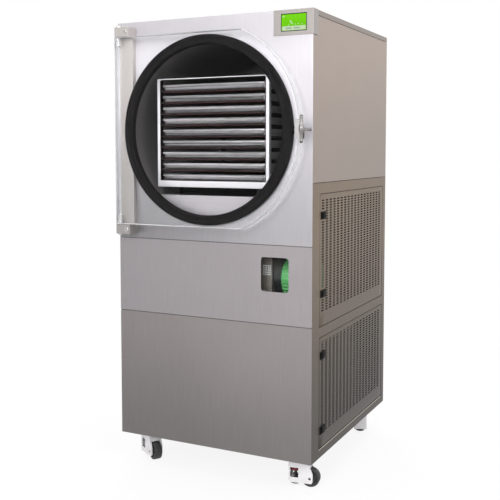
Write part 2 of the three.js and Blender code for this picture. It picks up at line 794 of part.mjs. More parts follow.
// ---- Rack and trays ----
function chamberFloorPlate() {
  const reach = chamberRadius - 2 * fitGap;
  const low = chamberZ - chamberRadius;
  const [front, back] = [floorPlateFront, floorPlateBack];
  const folded = join(
    block(-chamberOuter, chamberOuter, front, front + floorPlateSteel, low, floorPlateTop),
    block(-chamberOuter, chamberOuter, front, back, floorPlateTop - floorPlateSteel, floorPlateTop))
    .translate([chamberX, 0, 0]);
  return folded.intersect(bar('y', reach, front - cutOver, back + cutOver, chamberX, 0, chamberZ,
    chamberSides));
}

// The underside of each tray, from the lowest up.
function trayBottoms() {
  const lowest = rackBottom + rackSill + fitGap;
  return Array.from({ length: trayCount }, (_, i) => lowest + i * trayPitch);
}

function trayRack() {
  const [y0, y1] = [rackFront, rackFront + rackDepth];
  const [z0, z1] = [rackBottom, rackTop];
  const parts = [];
  for (const x of [rackLeft, rackRight - rackPostWidth]) {
    for (const y of [y0, y1 - rackPostDepth]) {
      parts.push(block(x, x + rackPostWidth, y, y + rackPostDepth, z0, z1));
    }
  }
  for (const bottom of trayBottoms()) {
    const shelf = bottom - fitGap;
    parts.push(block(rackLeft + shelfSideInset, rackRight - shelfSideInset,
      y0 + shelfSetback, y1 - shelfSetback, shelf - shelfPlate, shelf));
  }
  parts.push(block(rackLeft, rackRight, y0, y1, z1 - rackTopSteel, z1));
  parts.push(block(rackLeft, rackRight, y0, y0 + rackSillSteel, z0, z0 + rackSill - shelfPlate / 2));
  parts.push(block(rackLeft, rackRight, y0, y1, z0, z0 + rackSillSteel));
  const legBottom = floorPlateTop + fitGap;
  for (const x of [rackLeft + rackLegInset, rackRight - rackLegInset - rackLeg]) {
    for (const y of [y0 + rackLegInset, y1 - rackLegInset - rackLeg]) {
      parts.push(block(x, x + rackLeg, y, y + rackLeg, legBottom, z0 + rackSillSteel / 2));
    }
  }
  return join(...parts);
}

function tray() {
  const width = rackWidth - 2 * rackPostWidth - 2 * traySideGap;
  const length = rackDepth - trayEndGap;
  const outside = raised(roundedRectangle(width, length, trayCorner, 2), trayHeight);
  const inside = raised(roundedRectangle(width - 2 * trayWall, length - 2 * trayWall,
    trayCorner - trayWall, 2), trayHeight);
  return cut(toSolid(outside), toSolid(inside.translate(0, 0, trayWall)));
}

// ---- Controls ----
function hmiBezel() {
  const outer = halfWidth + fitGap + bezelSteel;
  const front = -fitGap - bezelSteel;
  const inner = halfWidth + fitGap;
  const screenRight = halfWidth - screenSide + screenGap;
  const shell = block(halfWidth - bezelWidth, outer, front, bezelReturn, top - bezelHeight, top);
  return cut(shell,
    block(halfWidth - bezelWidth - cutOver, inner, -fitGap, bezelReturn + cutOver,
      top - bezelHeight - cutOver, top + cutOver),
    block(screenRight - screenWidth - 2 * screenGap, screenRight, front - cutOver, 0,
      top - screenTop - screenHeight - screenGap, top - screenTop + screenGap));
}

function hmiScreen() {
  const right = halfWidth - screenSide;
  const front = -fitGap - bezelSteel / 2;
  return block(right - screenWidth, right, front, front + screenDepth,
    top - screenTop - screenHeight, top - screenTop);
}

function controlBox() {
  return block(boxLeft, boxLeft + boxWidth, boxFront, boxFront + boxDepth,
    shelfTop + fitGap, shelfTop + boxHeight);
}

function powerInlet() {
  const [w, h] = [inletWidth / 2, inletHeight / 2];
  const z = base + inletZ;
  const body = block(inletX - w, inletX + w, cabinetDepth - inletHeight, cabinetDepth + sideSheet,
    z - h, z + h);
  const flange = block(inletX - w - inletFlange, inletX + w + inletFlange, cabinetDepth + fitGap,
    cabinetDepth + fitGap + sideSheet, z - h - inletFlange, z + h + inletFlange);
  const socket = block(inletX - w + inletWall, inletX + w - inletWall,
    cabinetDepth - inletHeight + inletWall, cabinetDepth + inletHeight,
    z - h + inletWall, z + h - inletWall);
  return cut(join(body, flange), socket);
}

// ---- Refrigeration ----
function evaporatorCoil() {
  const flat = Math.cos(Math.PI / coilSides); // a turn's flats lie closer in than its corners
  const radius = (chamberOuter + fitGap + coilTube) / flat;
  const points = [];
  const steps = Math.round(coilTurns * coilSides);
  for (let i = 0; i <= steps; i += 1) {
    const angle = (2 * Math.PI * coilTurns * i) / steps;
    points.push(new THREE.Vector3(chamberX + radius * Math.sin(angle),
      coilFront + ((coilBack - coilFront) * i) / steps, chamberZ + radius * Math.cos(angle)));
  }
  const section = new THREE.Shape().absarc(0, 0, coilTube, 0, 2 * Math.PI, false);
  return toSolid(new THREE.ExtrudeGeometry(section, { steps, curveSegments: 4,
    extrudePath: new THREE.CatmullRomCurve3(points) }));
}

function compressor() {
  const radius = compressorRadius;
  const shoulder = compressorHeight - compressorDome;
  const steps = 4;
  const profile = [[0, compressorFoot], [radius, compressorFoot]];
  for (let i = 0; i < steps; i += 1) {
    const angle = (Math.PI / 2 * i) / steps;
    profile.push([radius * Math.cos(angle), shoulder + compressorDome * Math.sin(angle)]);
  }
  profile.push([0, compressorHeight]);
  const mount = block(-radius, radius, -compressorMountWidth / 2, compressorMountWidth / 2,
    0, compressorMountHeight);
  return join(toSolid(turned(profile, 28)), mount)
    .translate([compressorX, compressorY, base + basePlate + fitGap]);
}

const condenserRight = halfWidth - sideSheet - condenserInset;
const condenserLeft = condenserRight - condenserDepth;
const condenserBottom = base + basePlate + fitGap;

function condenserRadiator() {
  const [y0, y1] = [condenserFront, condenserFront + condenserWidth];
  const [z0, z1] = [condenserBottom, condenserBottom + condenserHeight];
  const pitch = (condenserWidth - 2 * finTray) / condenserFins;
  const gaps = [];
  for (let i = 0; i < condenserFins; i += 1) {
    const y = y0 + finTray + i * pitch + finSteel / 2;
    gaps.push(block(condenserLeft - cutOver, condenserRight + cutOver, y, y + pitch - finSteel,
      z0 + finTray, z1 - finTray));
  }
  return cut(block(condenserLeft, condenserRight, y0, y1, z0, z1), ...gaps);
}

const fanY = condenserFront + condenserWidth / 2;
const fanZ = condenserBottom + condenserHeight / 2;
const shroudRight = condenserLeft - fitGap;
const shroudLeft = shroudRight - shroudDepth;

// A square shroud with a round opening, and a four-armed spider that holds the fan's shaft.
function fanShroud() {
  const [y0, y1] = [condenserFront, condenserFront + condenserWidth];
  const [z0, z1] = [condenserBottom, condenserBottom + condenserHeight];
  const opening = fanRadius + fanTipGap;
  const plate = cut(block(shroudLeft, shroudRight, y0, y1, z0, z1),
    bar('x', opening, shroudLeft - cutOver, shroudRight + cutOver, 0, fanY, fanZ, 40));
  const arm = shroudWall * 2;
  const reach = opening + spiderLap;
  return join(plate,
    block(shroudLeft, shroudLeft + shroudWall, fanY - reach, fanY + reach, fanZ - arm, fanZ + arm),
    block(shroudLeft, shroudLeft + shroudWall, fanY - arm, fanY + arm, fanZ - reach, fanZ + reach),
    bar('x', spiderHub, shroudLeft, shroudLeft + shroudWall * 2, 0, fanY, fanZ),
    bar('x', fanShaft, shroudLeft, shroudRight - shroudWall, 0, fanY, fanZ));
}

function condenserFan() {
  const x0 = shroudLeft + shroudWall * 2 + fitGap;
  const x1 = x0 + fanBladeWidth;
  const hub = bar('x', fanHub, x0, x1, 0, fanY, fanZ);
  const blades = [];
  for (let i = 0; i < fanBlades; i += 1) {
    const blade = new THREE.BoxGeometry(fanBladeSteel, fanBladeChord, fanRadius - fanBladeRoot);
    blade.rotateZ(THREE.MathUtils.degToRad(fanBladePitch));
    blade.translate(0, 0, (fanRadius + fanBladeRoot) / 2);
    blade.rotateX((2 * Math.PI * i) / fanBlades);
    blades.push(toSolid(blade.translate((x0 + x1) / 2, fanY, fanZ)));
  }
  const shaftHole = bar('x', fanShaft + fanShaftGap, x0 - cutOver, x1 + cutOver, 0, fanY, fanZ);
  return cut(join(hub, ...blades), shaftHole);
}

// ---- Vacuum pump ----
function vacuumPump() {
  const shape = roundedRectangle(pumpLength, pumpHeight - pumpFootHeight, pumpCorner, 3);
  const centreX = pumpLeft + pumpLength / 2;
  const bodyMiddle = shelfTop + fitGap + pumpFootHeight + (pumpHeight - pumpFootHeight) / 2;
  const [y0, y1] = [pumpFront, pumpFront + pumpWidth];
  const feet = [pumpLeft, pumpLeft + pumpLength - pumpFootLength].map((x) => block(
    x, x + pumpFootLength, y0, y1, shelfTop + fitGap, shelfTop + pumpFootHeight + pumpCorner));
  return join(standing(shape, y0, y1, centreX, bodyMiddle), ...feet,
    bar('z', pipeRadius + portWall, bodyMiddle, pumpTop + pumpPort, centreX, y0 + pumpWidth / 2, 0));
}

// The motor: a round body with a wider fan cover at its end.
function pumpMotor() {
  const start = pumpLeft + pumpLength + fitGap;
  const end = start + motorLength;
  const shell = motorRadius - motorFin;
  const profile = [[0, start], [shell, start], [shell, end - motorCover], [motorRadius, end - motorCover],
    [motorRadius, end - motorFin], [shell, end], [0, end]];
  return toSolid(along('x', turned(profile, 28)).translate(0, motorY, motorZ));
}

function vacuumPipe() {
  const pumpX = pumpLeft + pumpLength / 2;
  const portZ = chamberZ - portDrop;
  const start = chamberLength + portLength + fitGap;
  const low = chamberZ - chamberOuter - portalBeam / 2 - pipeRadius - pipeClearance;
  const inletTop = pumpTop + pumpPort + fitGap;
  const bend = 3 * pipeRadius;
  const path = new THREE.CatmullRomCurve3([
    new THREE.Vector3(chamberX, start, portZ),
    new THREE.Vector3(chamberX, start + bend * 0.7, portZ - bend * 0.3),
    new THREE.Vector3(chamberX, start + bend, portZ - bend),
    new THREE.Vector3(chamberX, start + bend * 0.7, low + bend * 0.4),
    new THREE.Vector3(chamberX, start, low),
    new THREE.Vector3(chamberX, motorY + pipeTurnStart * bend, low),
    new THREE.Vector3(pumpX, motorY + bend, low),
    new THREE.Vector3(pumpX, motorY + bend * 0.25, low - bend * 0.3),
    new THREE.Vector3(pumpX, motorY, inletTop + pipeRadius),
    new THREE.Vector3(pumpX, motorY, inletTop)], false, 'centripetal');
  const section = new THREE.Shape().absarc(0, 0, pipeRadius, 0, 2 * Math.PI, false);
  return toSolid(new THREE.ExtrudeGeometry(section, { steps: 32, curveSegments: 4, extrudePath: path }));
}

// ---- Casters, built round their own swivel axis with z = 0 on the floor and the wheel at -Y ----
const plateUnderside = groundClearance - casterPlateSteel;
const housingTop = plateUnderside - fitGap - swivelHeight;
const housingHalf = wheelWidth / 2 + wheelGap + cheek;
const thumbTop = thumbZ + thumbHeight;

function casterHousing() {
  const discTop = plateUnderside - fitGap;
  const disc = toSolid(turned([[0, housingTop - cutOver], [swivelRadius - swivelBevel, housingTop - cutOver],
    [swivelRadius, housingTop + swivelBevelHeight], [swivelRadius, discTop], [swivelPost, discTop],
    [swivelPost, discTop + swivelPostLength], [0, discTop + swivelPostLength]], 24));
  const outline = new THREE.Shape();
  const nose = wheelTrail + housingNose;
  outline.moveTo(-housingBack, housingBottom + housingEdge);
  outline.lineTo(housingEdge - housingBack, housingBottom);
  outline.lineTo(nose - housingToe, housingBottom);
  outline.lineTo(nose, housingBottom + housingToeHeight);
  outline.lineTo(nose, housingNoseTop);
  outline.lineTo(wheelTrail - housingBrow, housingTop);
  outline.lineTo(housingCrown - housingBack, housingTop);
  outline.lineTo(-housingBack, housingTop - housingCrownHeight);
  outline.closePath();
  const profile = raised(outline, 2 * housingHalf);
  profile.rotateX(Math.PI / 2);
  profile.rotateZ(-Math.PI / 2);
  const body = toSolid(profile.translate(housingHalf, 0, 0));
  const inner = wheelWidth / 2 + wheelGap;
  const wheelSpace = block(-inner, inner, -nose - cutOver, wheelGap + wheelRadius - wheelTrail,
    0, 2 * wheelRadius + wheelGap);
  const footHalf = thumbRadius + footClearance;
  const windowHalf = thumbRadius - footWindowSide;
  const footSpace = join(
    block(-footHalf, footHalf, footOffset - footHalf, footOffset + footHalf, 0, thumbTop + footHeadroom),
    bar('z', footStem + stemClearance, thumbZ, thumbTop + footTail + footTailRoom, 0, footOffset, 0, 16));
  const window = block(-housingHalf - cutOver, housingHalf + cutOver, footOffset - windowHalf,
    footOffset + windowHalf, footLift + footHeight + footWindowSill, thumbTop + footWindowHead);
  const axleHole = bar('x', axleRadius + axleClearance, -housingHalf - cutOver, housingHalf + cutOver,
    0, -wheelTrail, wheelRadius, 16);
  return join(cut(body, wheelSpace, footSpace, window, axleHole), disc);
}

function casterWheel() {
  const face = wheelWidth / 2;
  const half = [[axleRadius, housingHalf], [axleRadius, face], [wheelRadius - wheelRound, face],
    [wheelRadius, face - wheelRound]];
  const mirrored = half.map(([radius, x]) => [radius, -x]);
  const wheel = turned([[0, -housingHalf], ...mirrored, ...half.reverse(), [0, housingHalf]], wheelSides);
  wheel.rotateZ(Math.PI / wheelSides);
  return along('x', wheel);
}

function levellingFoot() {
  const padTop = footLift + footHeight;
  return turned([[0, footLift], [footRadius, footLift], [footRadius, padTop - footBevel],
    [footRadius - footBevel, padTop], [footStem, padTop], [footStem, thumbZ], [thumbRadius, thumbZ],
    [thumbRadius, thumbTop], [footStem, thumbTop], [footStem, thumbTop + footTail],
    [0, thumbTop + footTail]], 16);
}

function addCasters() {
  const names = ['front_left', 'front_right', 'rear_left', 'rear_right'];
  casterPlaces().forEach(([x, y], i) => {
    const caster = new THREE.Group();
    caster.position.set(x, y, 0);
    caster.rotation.z = THREE.MathUtils.degToRad(casterTurns[i]);
    model.add(caster);
    addMesh(`${names[i]}_caster_housing`, casterHousing(), ivoryPaint, caster);
    const wheel = addMesh(`${names[i]}_caster_wheel`, casterWheel(), tyreBlack, caster);
    wheel.position.set(0, -wheelTrail, wheelRadius);
    const foot = addMesh(`${names[i]}_levelling_foot`, levellingFoot(), thumbRed, caster);
    foot.position.set(0, footOffset, 0);
  });
}

// ---- The scene ----
addMesh('base_frame', baseFrame(), frameSteelFinish);
addMesh('top_cover', topCover(), warmSteel);
addMesh('upper_front_plate', upperFrontPlate(), brushedSteel);
addMesh('middle_front_panel', middleFrontPanel(), brushedSteel);
addMesh('lower_front_panel', block(-halfWidth, halfWidth, 0, frontPlate, base,
  base + lowerSeamHeight - frontSeam / 2), brushedSteel);
addMesh('right_upper_panel', upperSideSheet(1), warmSteel);
addMesh('right_door_frame', rightDoorFrame(), warmSteel);
addMesh('left_upper_panel', upperSideSheet(-1), warmSteel);
addMesh('left_lower_panel', sideSheetBlock(-1, base, base + sideSeamHeight), warmSteel);
addMesh('back_panel', backPanel(), warmSteel);
addMesh('sight_window', sightWindow(), clearAcrylic);

for (const [name, row] of [['upper', latchRows[0]], ['lower', latchRows[1]]]) {
  addMesh(`${name}_vent_door`, ventDoor(row.vent), warmSteel);
  row.heights.forEach((z, i) => addMesh(`${name}_vent_latch_${i + 1}`, latch(z), blackPlastic));
}

addMesh('vacuum_chamber', vacuumChamber(), polishedSteel);
addMesh('door_gasket', doorGasket(), blackRubber);
addMesh('acrylic_door', acrylicDoor(), clearAcrylic);
addMesh('hinge_bar', hingeBar(), warmSteel);
addMesh('upper_hinge_pin', hingePin(1), polishedSteel);
addMesh('lower_hinge_pin', hingePin(-1), polishedSteel);
addMesh('door_strike', doorStrike(), polishedSteel);
addMesh('t_handle', tHandle(), polishedSteel);
addMesh('chamber_floor_plate', chamberFloorPlate(), polishedSteel);
addMesh('tray_rack', trayRack(), polishedSteel);
trayBottoms().reverse().forEach((z, i) => {
  const mesh = addMesh(`tray_${i + 1}`, tray(), polishedSteel);
  mesh.position.set(chamberX, rackFront + rackDepth / 2, z);
});

addMesh('hmi_bezel', hmiBezel(), warmSteel);
addMesh('hmi_screen', hmiScreen(), screenGreen);
addMesh('control_box', controlBox(), boxGrey);
addMesh('power_inlet', powerInlet(), blackPlastic);

addMesh('evaporator_coil', evaporatorCoil(), copper);
addMesh('compressor', compressor(), blackPaint);
addMesh('condenser_radiator', condenserRadiator(), finAluminium);
addMesh('fan_shroud', fanShroud(), blackPlastic);
addMesh('condenser_fan', condenserFan(), blackPlastic);
addMesh('vacuum_pump', vacuumPump(), blackPaint);
addMesh('pump_motor', pumpMotor(), greenPaint);
addMesh('vacuum_pipe', vacuumPipe(), polishedSteel);
addCasters();

// Stand the model with its origin on the floor, under the middle of its overall box.
model.updateMatrixWorld(true);
const bounds = new THREE.Box3().setFromObject(model, true);
model.position.set(-(bounds.min.x + bounds.max.x) / 2, -(bounds.min.y + bounds.max.y) / 2, -bounds.min.z);
model.updateMatrixWorld(true);

export default model;
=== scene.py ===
"""Floor-standing freeze dryer: the finished surfaces that go over its fixed frame."""

import json
import math

import bmesh
import bpy
from bpy.props import FloatProperty, FloatVectorProperty, IntProperty, PointerProperty
from mathutils import Matrix, Vector


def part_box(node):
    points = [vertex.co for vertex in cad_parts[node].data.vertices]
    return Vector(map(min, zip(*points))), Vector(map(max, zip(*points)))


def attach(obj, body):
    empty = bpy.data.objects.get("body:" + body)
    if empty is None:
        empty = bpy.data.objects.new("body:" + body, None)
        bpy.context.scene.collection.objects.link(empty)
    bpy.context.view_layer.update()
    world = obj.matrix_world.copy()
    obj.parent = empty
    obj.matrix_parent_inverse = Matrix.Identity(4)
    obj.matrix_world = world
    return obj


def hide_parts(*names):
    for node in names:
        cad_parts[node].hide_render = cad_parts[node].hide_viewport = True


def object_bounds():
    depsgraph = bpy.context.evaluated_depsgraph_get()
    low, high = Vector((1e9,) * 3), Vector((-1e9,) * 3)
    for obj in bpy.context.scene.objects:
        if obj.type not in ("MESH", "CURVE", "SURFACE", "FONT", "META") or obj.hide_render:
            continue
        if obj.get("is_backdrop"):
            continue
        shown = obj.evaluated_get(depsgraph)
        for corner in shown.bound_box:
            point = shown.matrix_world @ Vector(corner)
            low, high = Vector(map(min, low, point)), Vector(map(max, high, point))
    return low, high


bl_info = {
    "name": "Freeze Dryer",
    "version": (1, 0, 0),
    "blender": (4, 5, 0),
    "location": "View3D > Sidebar > Freeze Dryer",
    "description": "Builds the panels, chamber, trays, door and casters of a laboratory freeze dryer",
    "category": "Object",
}

MM = 0.001
FULL_TURN = 2 * math.pi
CORNERS = ("front_left", "front_right", "rear_left", "rear_right")
LATCHES = (("upper", 1), ("upper", 2), ("lower", 1), ("lower", 2))
CAMERA_PLACE = (1.3359, -2.7517, 1.1152)
CAMERA_SHIFT = -0.09

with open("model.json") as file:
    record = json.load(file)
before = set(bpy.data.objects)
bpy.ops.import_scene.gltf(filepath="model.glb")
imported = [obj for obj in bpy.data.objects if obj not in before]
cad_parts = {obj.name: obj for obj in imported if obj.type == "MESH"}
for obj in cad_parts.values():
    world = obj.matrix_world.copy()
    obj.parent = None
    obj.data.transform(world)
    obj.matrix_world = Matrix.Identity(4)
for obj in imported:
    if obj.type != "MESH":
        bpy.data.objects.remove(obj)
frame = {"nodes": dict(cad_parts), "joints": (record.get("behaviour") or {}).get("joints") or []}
NODES = frame["nodes"]
JOINTS = {joint["name"]: joint for joint in frame["joints"]}
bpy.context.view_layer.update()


def tint(red, green, blue):
    """A colour given in 0 to 255 as a screen shows it, turned into the linear values shaders use."""
    def linear(value):
        value = value / 255
        return value / 12.92 if value <= 0.04045 else ((value + 0.055) / 1.055) ** 2.4
    return (linear(red), linear(green), linear(blue))


def colour_property(name, description, red, green, blue):
    """A colour that the user can change, with its default given in 0 to 255."""
    return FloatVectorProperty(
        name=name, description=description, subtype="COLOR", size=3, min=0, max=1,
        default=tint(red, green, blue))


def length_property(name, description, millimetres):
    """A length that the user can change, with its default given in millimetres."""
    return FloatProperty(
        name=name, description=description, subtype="DISTANCE", unit="LENGTH", min=0,
        default=millimetres * MM)


# ---- Settings ----
class DryerSizes(bpy.types.PropertyGroup):
    """Sizes of the details that the frame leaves open."""
    sheet_edge: length_property("Sheet edge", "Rounding of the cut sheet edges", 0.7)
    casting_edge: length_property("Casting edge", "Rounding of cast and moulded parts", 1.4)
    slot_columns: IntProperty(
        name="Slot columns", description="Columns of vent slots in a door", default=18, min=2)
    slot_pitch: length_property("Slot pitch", "Column to column of the vent slots", 35.2)
    slot_length: length_property("Slot length", "Length of one vent slot", 22)
    row_pitch: length_property("Row pitch", "Row to row of the vent slots", 8.8)
    slot_height: length_property("Slot height", "Height of one vent slot", 4.7)
    field_front: length_property("Field front", "Door edge to the first column's land", 10)
    field_foot: length_property("Field foot", "Plain strip under a vent door's slots", 46)
    field_head: length_property("Field head", "Plain strip above a vent door's slots", 9)
    door_fold: length_property("Door fold", "Depth of the vent doors' folded edges", 14)
    door_steel: length_property("Door steel", "Sheet thickness of the vent doors", 2)
    tray_flare: length_property("Tray flare", "How far a tray's wall leans outwards", 3.5)
    tray_lip: length_property("Tray lip", "Width of a tray's rolled rim", 2.6)
    tray_steel: length_property("Tray steel", "Sheet thickness of the trays", 1.1)
    heater: length_property("Heater mat", "Thickness of the mat under each shelf", 1.6)


class DryerColours(bpy.types.PropertyGroup):
    """Colours of the finishes."""
    front_steel: colour_property("Front steel", "Brushed plate round the chamber", 200, 196, 202)
    warm_steel: colour_property("Warm steel", "Brushed panel with the sight window", 160, 152, 156)
    foot_steel: colour_property("Foot steel", "Brushed panel at the foot", 158, 149, 148)
    side_steel: colour_property("Side steel", "Brushed sheet of the sides", 163, 145, 133)
    rail_steel: colour_property("Rail steel", "Vent doors and the sheet round them", 163, 141, 118)
    bezel_steel: colour_property("Bezel steel", "Folded plate round the screen", 158, 150, 146)
    hinge_steel: colour_property("Hinge steel", "Hinge bar beside the door", 190, 182, 178)
    frame_steel: colour_property("Frame steel", "Welded frame", 84, 83, 82)
    rack_steel: colour_property("Rack steel", "Rack that holds the trays", 226, 223, 227)
    apron_steel: colour_property("Apron steel", "Plate under the rack", 172, 166, 172)
    tray_steel: colour_property("Tray steel", "Rolled sheet of the trays", 168, 164, 168)
    fin_aluminium: colour_property("Fin aluminium", "Condenser fins", 170, 172, 174)
    # Painted shade: the chamber's inside is given near-black steel for the shade in it.
    chamber: colour_property("Chamber", "Inside of the vacuum chamber", 46, 34, 36)
    # Painted shade: the near-black that the rack, trays and apron fade to deeper in the chamber.
    inside: colour_property("Inside", "Rack and trays deep in the chamber", 22, 14, 14)
    rubber: colour_property("Rubber", "Door gasket", 14, 12, 13)
    polish: colour_property("Polished steel", "Handle, pins and screws", 205, 204, 203)
    black_plastic: colour_property("Black plastic", "Latches and small fittings", 17, 17, 18)
    motor_green: colour_property("Motor green", "Paint of the pump's motor", 90, 170, 100)
    pump_grey: colour_property("Pump grey", "Casting of the pump's cover", 104, 98, 93)
    # Painted shade: near-black for the faces that look into the cabinet, so the vent slots read dark.
    inner_shade: colour_property("Inner shade", "Painted shade on the inner faces of the panels", 20, 20, 20)
    handle_steel: colour_property("Handle steel", "Clamp handle", 140, 137, 135)
    pump_black: colour_property("Pump black", "Paint of the pump and compressor", 34, 36, 37)
    heater_red: colour_property("Heater red", "Silicone mats under the shelves", 72, 14, 14)
    copper: colour_property("Copper", "Refrigerant pipe", 196, 112, 76)
    ivory: colour_property("Ivory", "Caster housings", 226, 224, 226)
    tyre: colour_property("Tyre", "Caster wheels", 38, 38, 40)
    thumb_red: colour_property("Thumbwheel red", "Levelling wheels", 96, 12, 28)
    screen_green: colour_property("Screen green", "Lit background of the display", 112, 204, 14)
    marks: colour_property("Marks", "Plain marks on the pump", 225, 228, 226)
    enclosure: colour_property("Enclosure", "Painted electrical box", 168, 170, 172)
    floor: colour_property("Floor", "Studio floor", 250, 250, 250)


# ---- Selecting and shaping ----
def only(*pieces):
    """Selects these pieces alone and makes the first one active."""
    active = bpy.context.view_layer.objects.active
    if active and active.mode != "OBJECT":
        bpy.ops.object.mode_set(mode="OBJECT")
    bpy.ops.object.select_all(action="DESELECT")
    for piece in pieces:
        piece.select_set(True)
    bpy.context.view_layer.objects.active = pieces[0]


def leave_edit():
    """Goes back to object mode with nothing selected."""
    bpy.ops.object.mode_set(mode="OBJECT")
    bpy.ops.object.select_all(action="DESELECT")


def pick(piece, kind, test):
    """Opens a piece for editing with only the vertices, edges or faces that pass a test selected."""
    only(piece)
    bpy.ops.object.mode_set(mode="EDIT")
    bpy.ops.mesh.select_mode(type=kind)
    bpy.ops.mesh.select_all(action="DESELECT")
    shape = bmesh.from_edit_mesh(piece.data)
    parts = {"VERT": shape.verts, "EDGE": shape.edges, "FACE": shape.faces}[kind]
    found = 0
    for part in parts:
        if test(part):
            part.select_set(True)
            found += 1
    shape.select_flush_mode()
    bmesh.update_edit_mesh(piece.data)
    if not found:
        raise RuntimeError(f"{piece.name}: nothing to select")


def apply_modifier(piece, kind, **values):
    """Adds one modifier to a piece and applies it."""
    only(piece)
    modifier = piece.modifiers.new(kind.title(), kind)
    for key, value in values.items():
        setattr(modifier, key, value)
    bpy.ops.object.modifier_apply(modifier=modifier.name)


def smooth(piece, degrees=32):
    """Shades a piece smoothly except over its sharp edges."""
    only(piece)
    bpy.ops.object.shade_smooth_by_angle(angle=math.radians(degrees))


def rounded(piece, width, segments=2, degrees=35):
    """Rounds the sharp edges of a piece and keeps its flat faces flat in shade."""
    apply_modifier(piece, "BEVEL", width=width, segments=segments, limit_method="ANGLE",
                   angle_limit=math.radians(degrees), use_clamp_overlap=False)
    smooth(piece)
    apply_modifier(piece, "WEIGHTED_NORMAL", keep_sharp=True, weight=100)
    return piece


def from_node(node, name):
    """A cleaned copy of a frame node's mesh, as the start of a finished piece."""
    mesh = NODES[node].data.copy()
    mesh.name = name
    piece = bpy.data.objects.new(name, mesh)
    bpy.context.scene.collection.objects.link(piece)
    only(piece)
    if mesh.has_custom_normals:
        bpy.ops.mesh.customdata_custom_splitnormals_clear()
    bpy.ops.object.mode_set(mode="EDIT")
    bpy.ops.mesh.select_all(action="SELECT")
    bpy.ops.mesh.remove_doubles(threshold=0.00002)
    bpy.ops.mesh.dissolve_limited(angle_limit=math.radians(0.5))
    bpy.ops.mesh.select_all(action="SELECT")
    bpy.ops.mesh.vert_connect_concave()
    leave_edit()
    return piece


def softened(node, name, width, segments=2):
    """A frame node's shape with its edges rounded, held inside the node's own box."""
    piece = rounded(from_node(node, name), width, segments)
    low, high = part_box(node)
    for vertex in piece.data.vertices:
        vertex.co = [min(max(place, start), end)
                     for place, start, end in zip(vertex.co, low, high)]
    return piece


def block(name, low, high):
    """A plain block between two corners, as the start of a piece."""
    low, high = Vector(low), Vector(high)
    bpy.ops.object.select_all(action="DESELECT")
    bpy.ops.mesh.primitive_cube_add(size=1, location=(low + high) / 2, scale=high - low)
    piece = bpy.context.object
    bpy.ops.object.transform_apply(location=True, rotation=True, scale=True)
    piece.name = name
    piece.data.name = name
    return piece


def turned(name, outline, centre, axis, steps=64):
    """Turns an outline of (radius, height) points about an axis through centre."""
    along = {"x": Vector((1, 0, 0)), "y": Vector((0, 1, 0)), "z": Vector((0, 0, 1))}[axis]
    outward = Vector((0, 1, 0)) if axis == "x" else Vector((1, 0, 0))
    centre = Vector(centre)
    places = [centre + outward * radius + along * height for radius, height in outline]
    bpy.ops.object.select_all(action="DESELECT")
    bpy.ops.mesh.primitive_plane_add(size=1, location=(0, 0, 0))
    piece = bpy.context.object
    piece.name = name
    piece.data.name = name
    bpy.ops.object.mode_set(mode="EDIT")
    bpy.ops.mesh.select_mode(type="VERT")
    bpy.ops.mesh.select_all(action="SELECT")
    bpy.ops.mesh.merge(type="CENTER")
    bpy.ops.mesh.select_all(action="SELECT")
    bpy.ops.transform.translate(value=places[0])
    for here, there in zip(places, places[1:]):
        bpy.ops.mesh.extrude_vertices_move(TRANSFORM_OT_translate={"value": there - here})
    bpy.ops.mesh.select_all(action="SELECT")
    bpy.ops.mesh.spin(steps=steps, angle=FULL_TURN, center=centre, axis=along)
    bpy.ops.mesh.select_all(action="SELECT")
    bpy.ops.mesh.remove_doubles(threshold=0.00001)
    bpy.ops.mesh.normals_make_consistent(inside=False)
    leave_edit()
    smooth(piece)
    return piece


def joined(name, *pieces):
    """Joins pieces into one under a new name."""
    only(*pieces)
    if len(pieces) > 1:
        bpy.ops.object.join()
    piece = bpy.context.view_layer.objects.active
    piece.name = name
    piece.data.name = name
    return piece


def twin(piece, name, place):
    """A copy of a piece with its own mesh, moved by a matrix or a vector."""
    copy = piece.copy()
    copy.data = piece.data.copy()
    copy.name = name
    copy.data.name = name
    bpy.context.scene.collection.objects.link(copy)
    move = place if isinstance(place, Matrix) else Matrix.Translation(Vector(place))
    copy.data.transform(move)
    if move.determinant() < 0:
        copy.data.flip_normals()
    return copy


def cut_out(piece, *tools):
    """Cuts tool shapes out of a piece and removes them."""
    for tool in tools:
        apply_modifier(piece, "BOOLEAN", object=tool, operation="DIFFERENCE", solver="EXACT")
        bpy.data.objects.remove(tool)


def paint(piece, *materials):
    """Gives a piece its materials."""
    piece.data.materials.clear()
    for material in materials:
        piece.data.materials.append(material)


def settle(piece, body, slot, *materials, stands_for=()):
    """Finishes a piece: its materials, the body it moves with and the nodes it stands for."""
    paint(piece, *materials)
    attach(piece, body)
    if stands_for:
        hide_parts(*stands_for)
    return piece


def arc(centre_radius, centre_height, radius, start, end, steps=4):
    """Points of a rounded corner in an outline, between two angles in degrees."""
    points = []
    for step in range(steps + 1):
        angle = math.radians(start + (end - start) * step / steps)
        points.append((centre_radius + radius * math.cos(angle),
                       centre_height + radius * math.sin(angle)))
    return points


# ---- Shader groups ----
def new_group(name, inputs, outputs):
    """A shader node group with named sockets, given as (name, kind, default) and (name, kind)."""
    group = bpy.data.node_groups.new(name, "ShaderNodeTree")
    for label, kind, default in inputs:
        socket = group.interface.new_socket(name=label, in_out="INPUT", socket_type=kind)
        socket.default_value = default
    for label, kind in outputs:
        group.interface.new_socket(name=label, in_out="OUTPUT", socket_type=kind)
    return group, group.nodes.new("NodeGroupInput"), group.nodes.new("NodeGroupOutput")


def node(tree, kind, links=(), **values):
    """Adds a node, sets its plain values and links its inputs."""
    new = tree.nodes.new(kind)
    for key, value in values.items():
        setattr(new, key, value)
    for socket, source in dict(links).items():
        target = new.inputs[socket]
        if hasattr(source, "is_output"):
            tree.links.new(source, target)
        else:
            target.default_value = source
    return new


